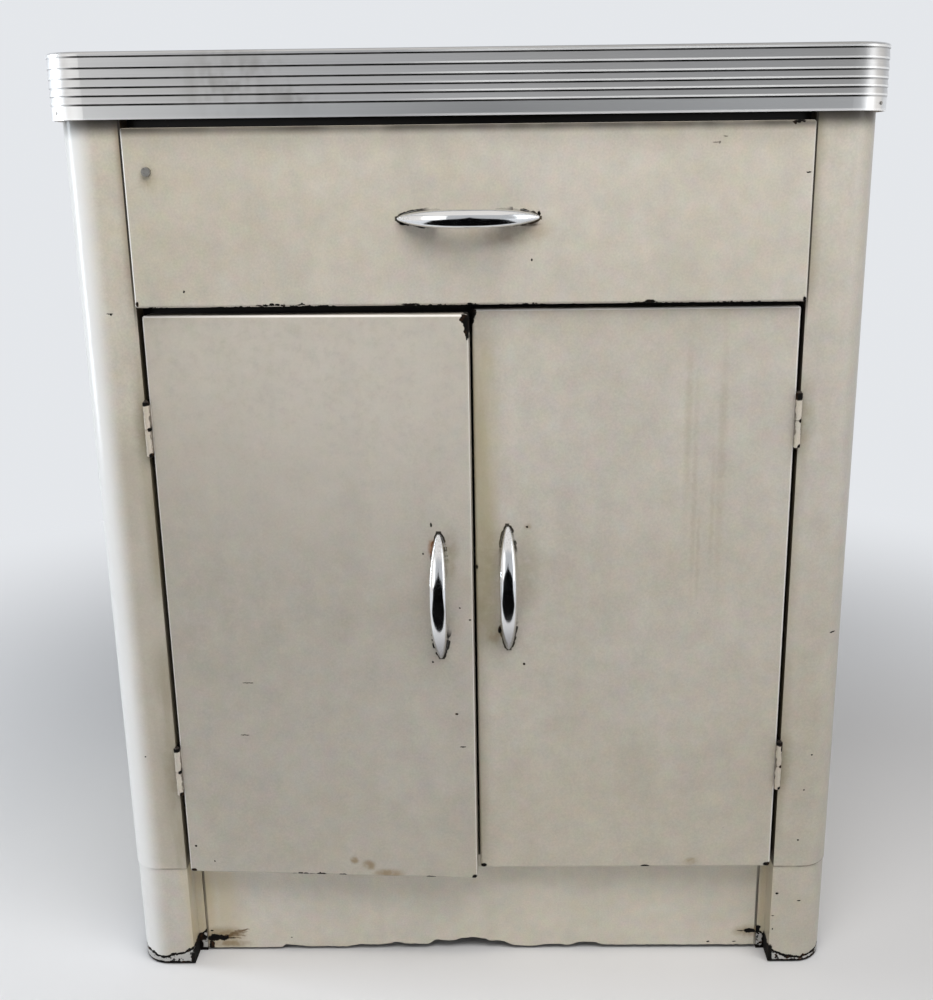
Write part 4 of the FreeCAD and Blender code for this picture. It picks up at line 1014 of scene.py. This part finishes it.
soft_lamp("side_lamp", (-2.1, 0.0, 0.95), (-0.36, -0.2, 0.65), 0.5, 1.6, 22, (0.86, 0.93, 1.0))
soft_lamp("window_lamp", (-1.75, -2.2, 1.15), (-0.2, -0.23, 0.8), 1.3, 1.5, 5, (1.0, 0.985, 0.955))
soft_lamp("fill_lamp", (2.5, -1.4, 1.1), (0, -0.2, 0.6), 1.0, 1.8, 7, (0.94, 0.97, 1.0))
top_lamp = soft_lamp("top_lamp", (0.3, -1.1, 2.1), (0, -0.23, 0.75), 1.9, 1.2, 37.5, (1.0, 0.985, 0.965))
top_lamp.visible_glossy = False


# Cards: dark and pale boards that only reflections can see, for the chrome and the band to mirror.
def card(name, corners, material):
    data = bpy.data.meshes.new(name)
    data.from_pydata(corners, [], [tuple(range(len(corners)))])
    data.materials.append(material)
    sheet = bpy.data.objects.new(name, data)
    bpy.context.scene.collection.objects.link(sheet)
    sheet.visible_camera = False
    sheet.visible_shadow = False
    sheet.visible_diffuse = False


card_black, tree, board, source = start_material("card black")
feed(tree, board, {"Base Color": (0.003, 0.003, 0.003, 1), "Roughness": 1.0, "Specular IOR Level": 0.0})
front_outline = [(-1.6, 0.0), (1.6, 0.0), (1.4, 0.35), (0.95, 0.62), (0.36, 0.8), (0.12, 0.9), (0.05, 1.06),
                 (0.01, 1.06), (-0.08, 0.9), (-0.3, 0.8), (-0.9, 0.62), (-1.4, 0.35)]
card("front_card", [(x, -1.6, z) for x, z in front_outline], card_black)
card("floor_card", [(-0.75, -0.5, 0.006), (0.75, -0.5, 0.006), (1.6, -1.6, 0.006), (-1.6, -1.6, 0.006)],
     card_black)
card_pale, tree, board, source = start_material("card pale")
feed(tree, board, {"Base Color": (0.0, 0.0, 0.0, 1), "Emission Strength": 1.0,
                   "Emission Color": (0.8, 0.77, 0.74, 1)})
card("ceiling_card", [(-2.2, -0.35, 2.3), (2.2, -0.35, 2.3), (2.2, -2.8, 2.3), (-2.2, -2.8, 2.3)], card_pale)
for name, x, end in (("left_card", -2.35, -0.45), ("right_card", 2.75, 0.6)):
    card(name, [(x, -2.0, 0.1), (x, end, 0.1), (x, end, 2.0), (x, -2.0, 2.0)], card_pale)

# Camera: in front of the cabinet, a little above its pulls, looking slightly down.
scene = bpy.context.scene
scene.view_settings.view_transform = "Standard"
eye = bpy.data.cameras.new("camera")
eye.lens = 43.16
eye.sensor_width = 36.0
eye.shift_x = -0.025
eye.shift_y = -0.0099
camera = bpy.data.objects.new("camera", eye)
yaw, pitch, roll = -0.0128, 0.2689, -0.012
ahead = Vector((math.sin(yaw) * math.cos(pitch), math.cos(yaw) * math.cos(pitch), -math.sin(pitch)))
level_right = Vector((math.cos(yaw), -math.sin(yaw), 0))
level_up = level_right.cross(ahead)
right = math.cos(roll) * level_right + math.sin(roll) * level_up
upward = -math.sin(roll) * level_right + math.cos(roll) * level_up
turn = Matrix((right, upward, -ahead)).transposed().to_4x4()
camera.matrix_world = Matrix.Translation((0.03145, -1.32099, 0.82078)) @ turn
scene.collection.objects.link(camera)
scene.camera = camera
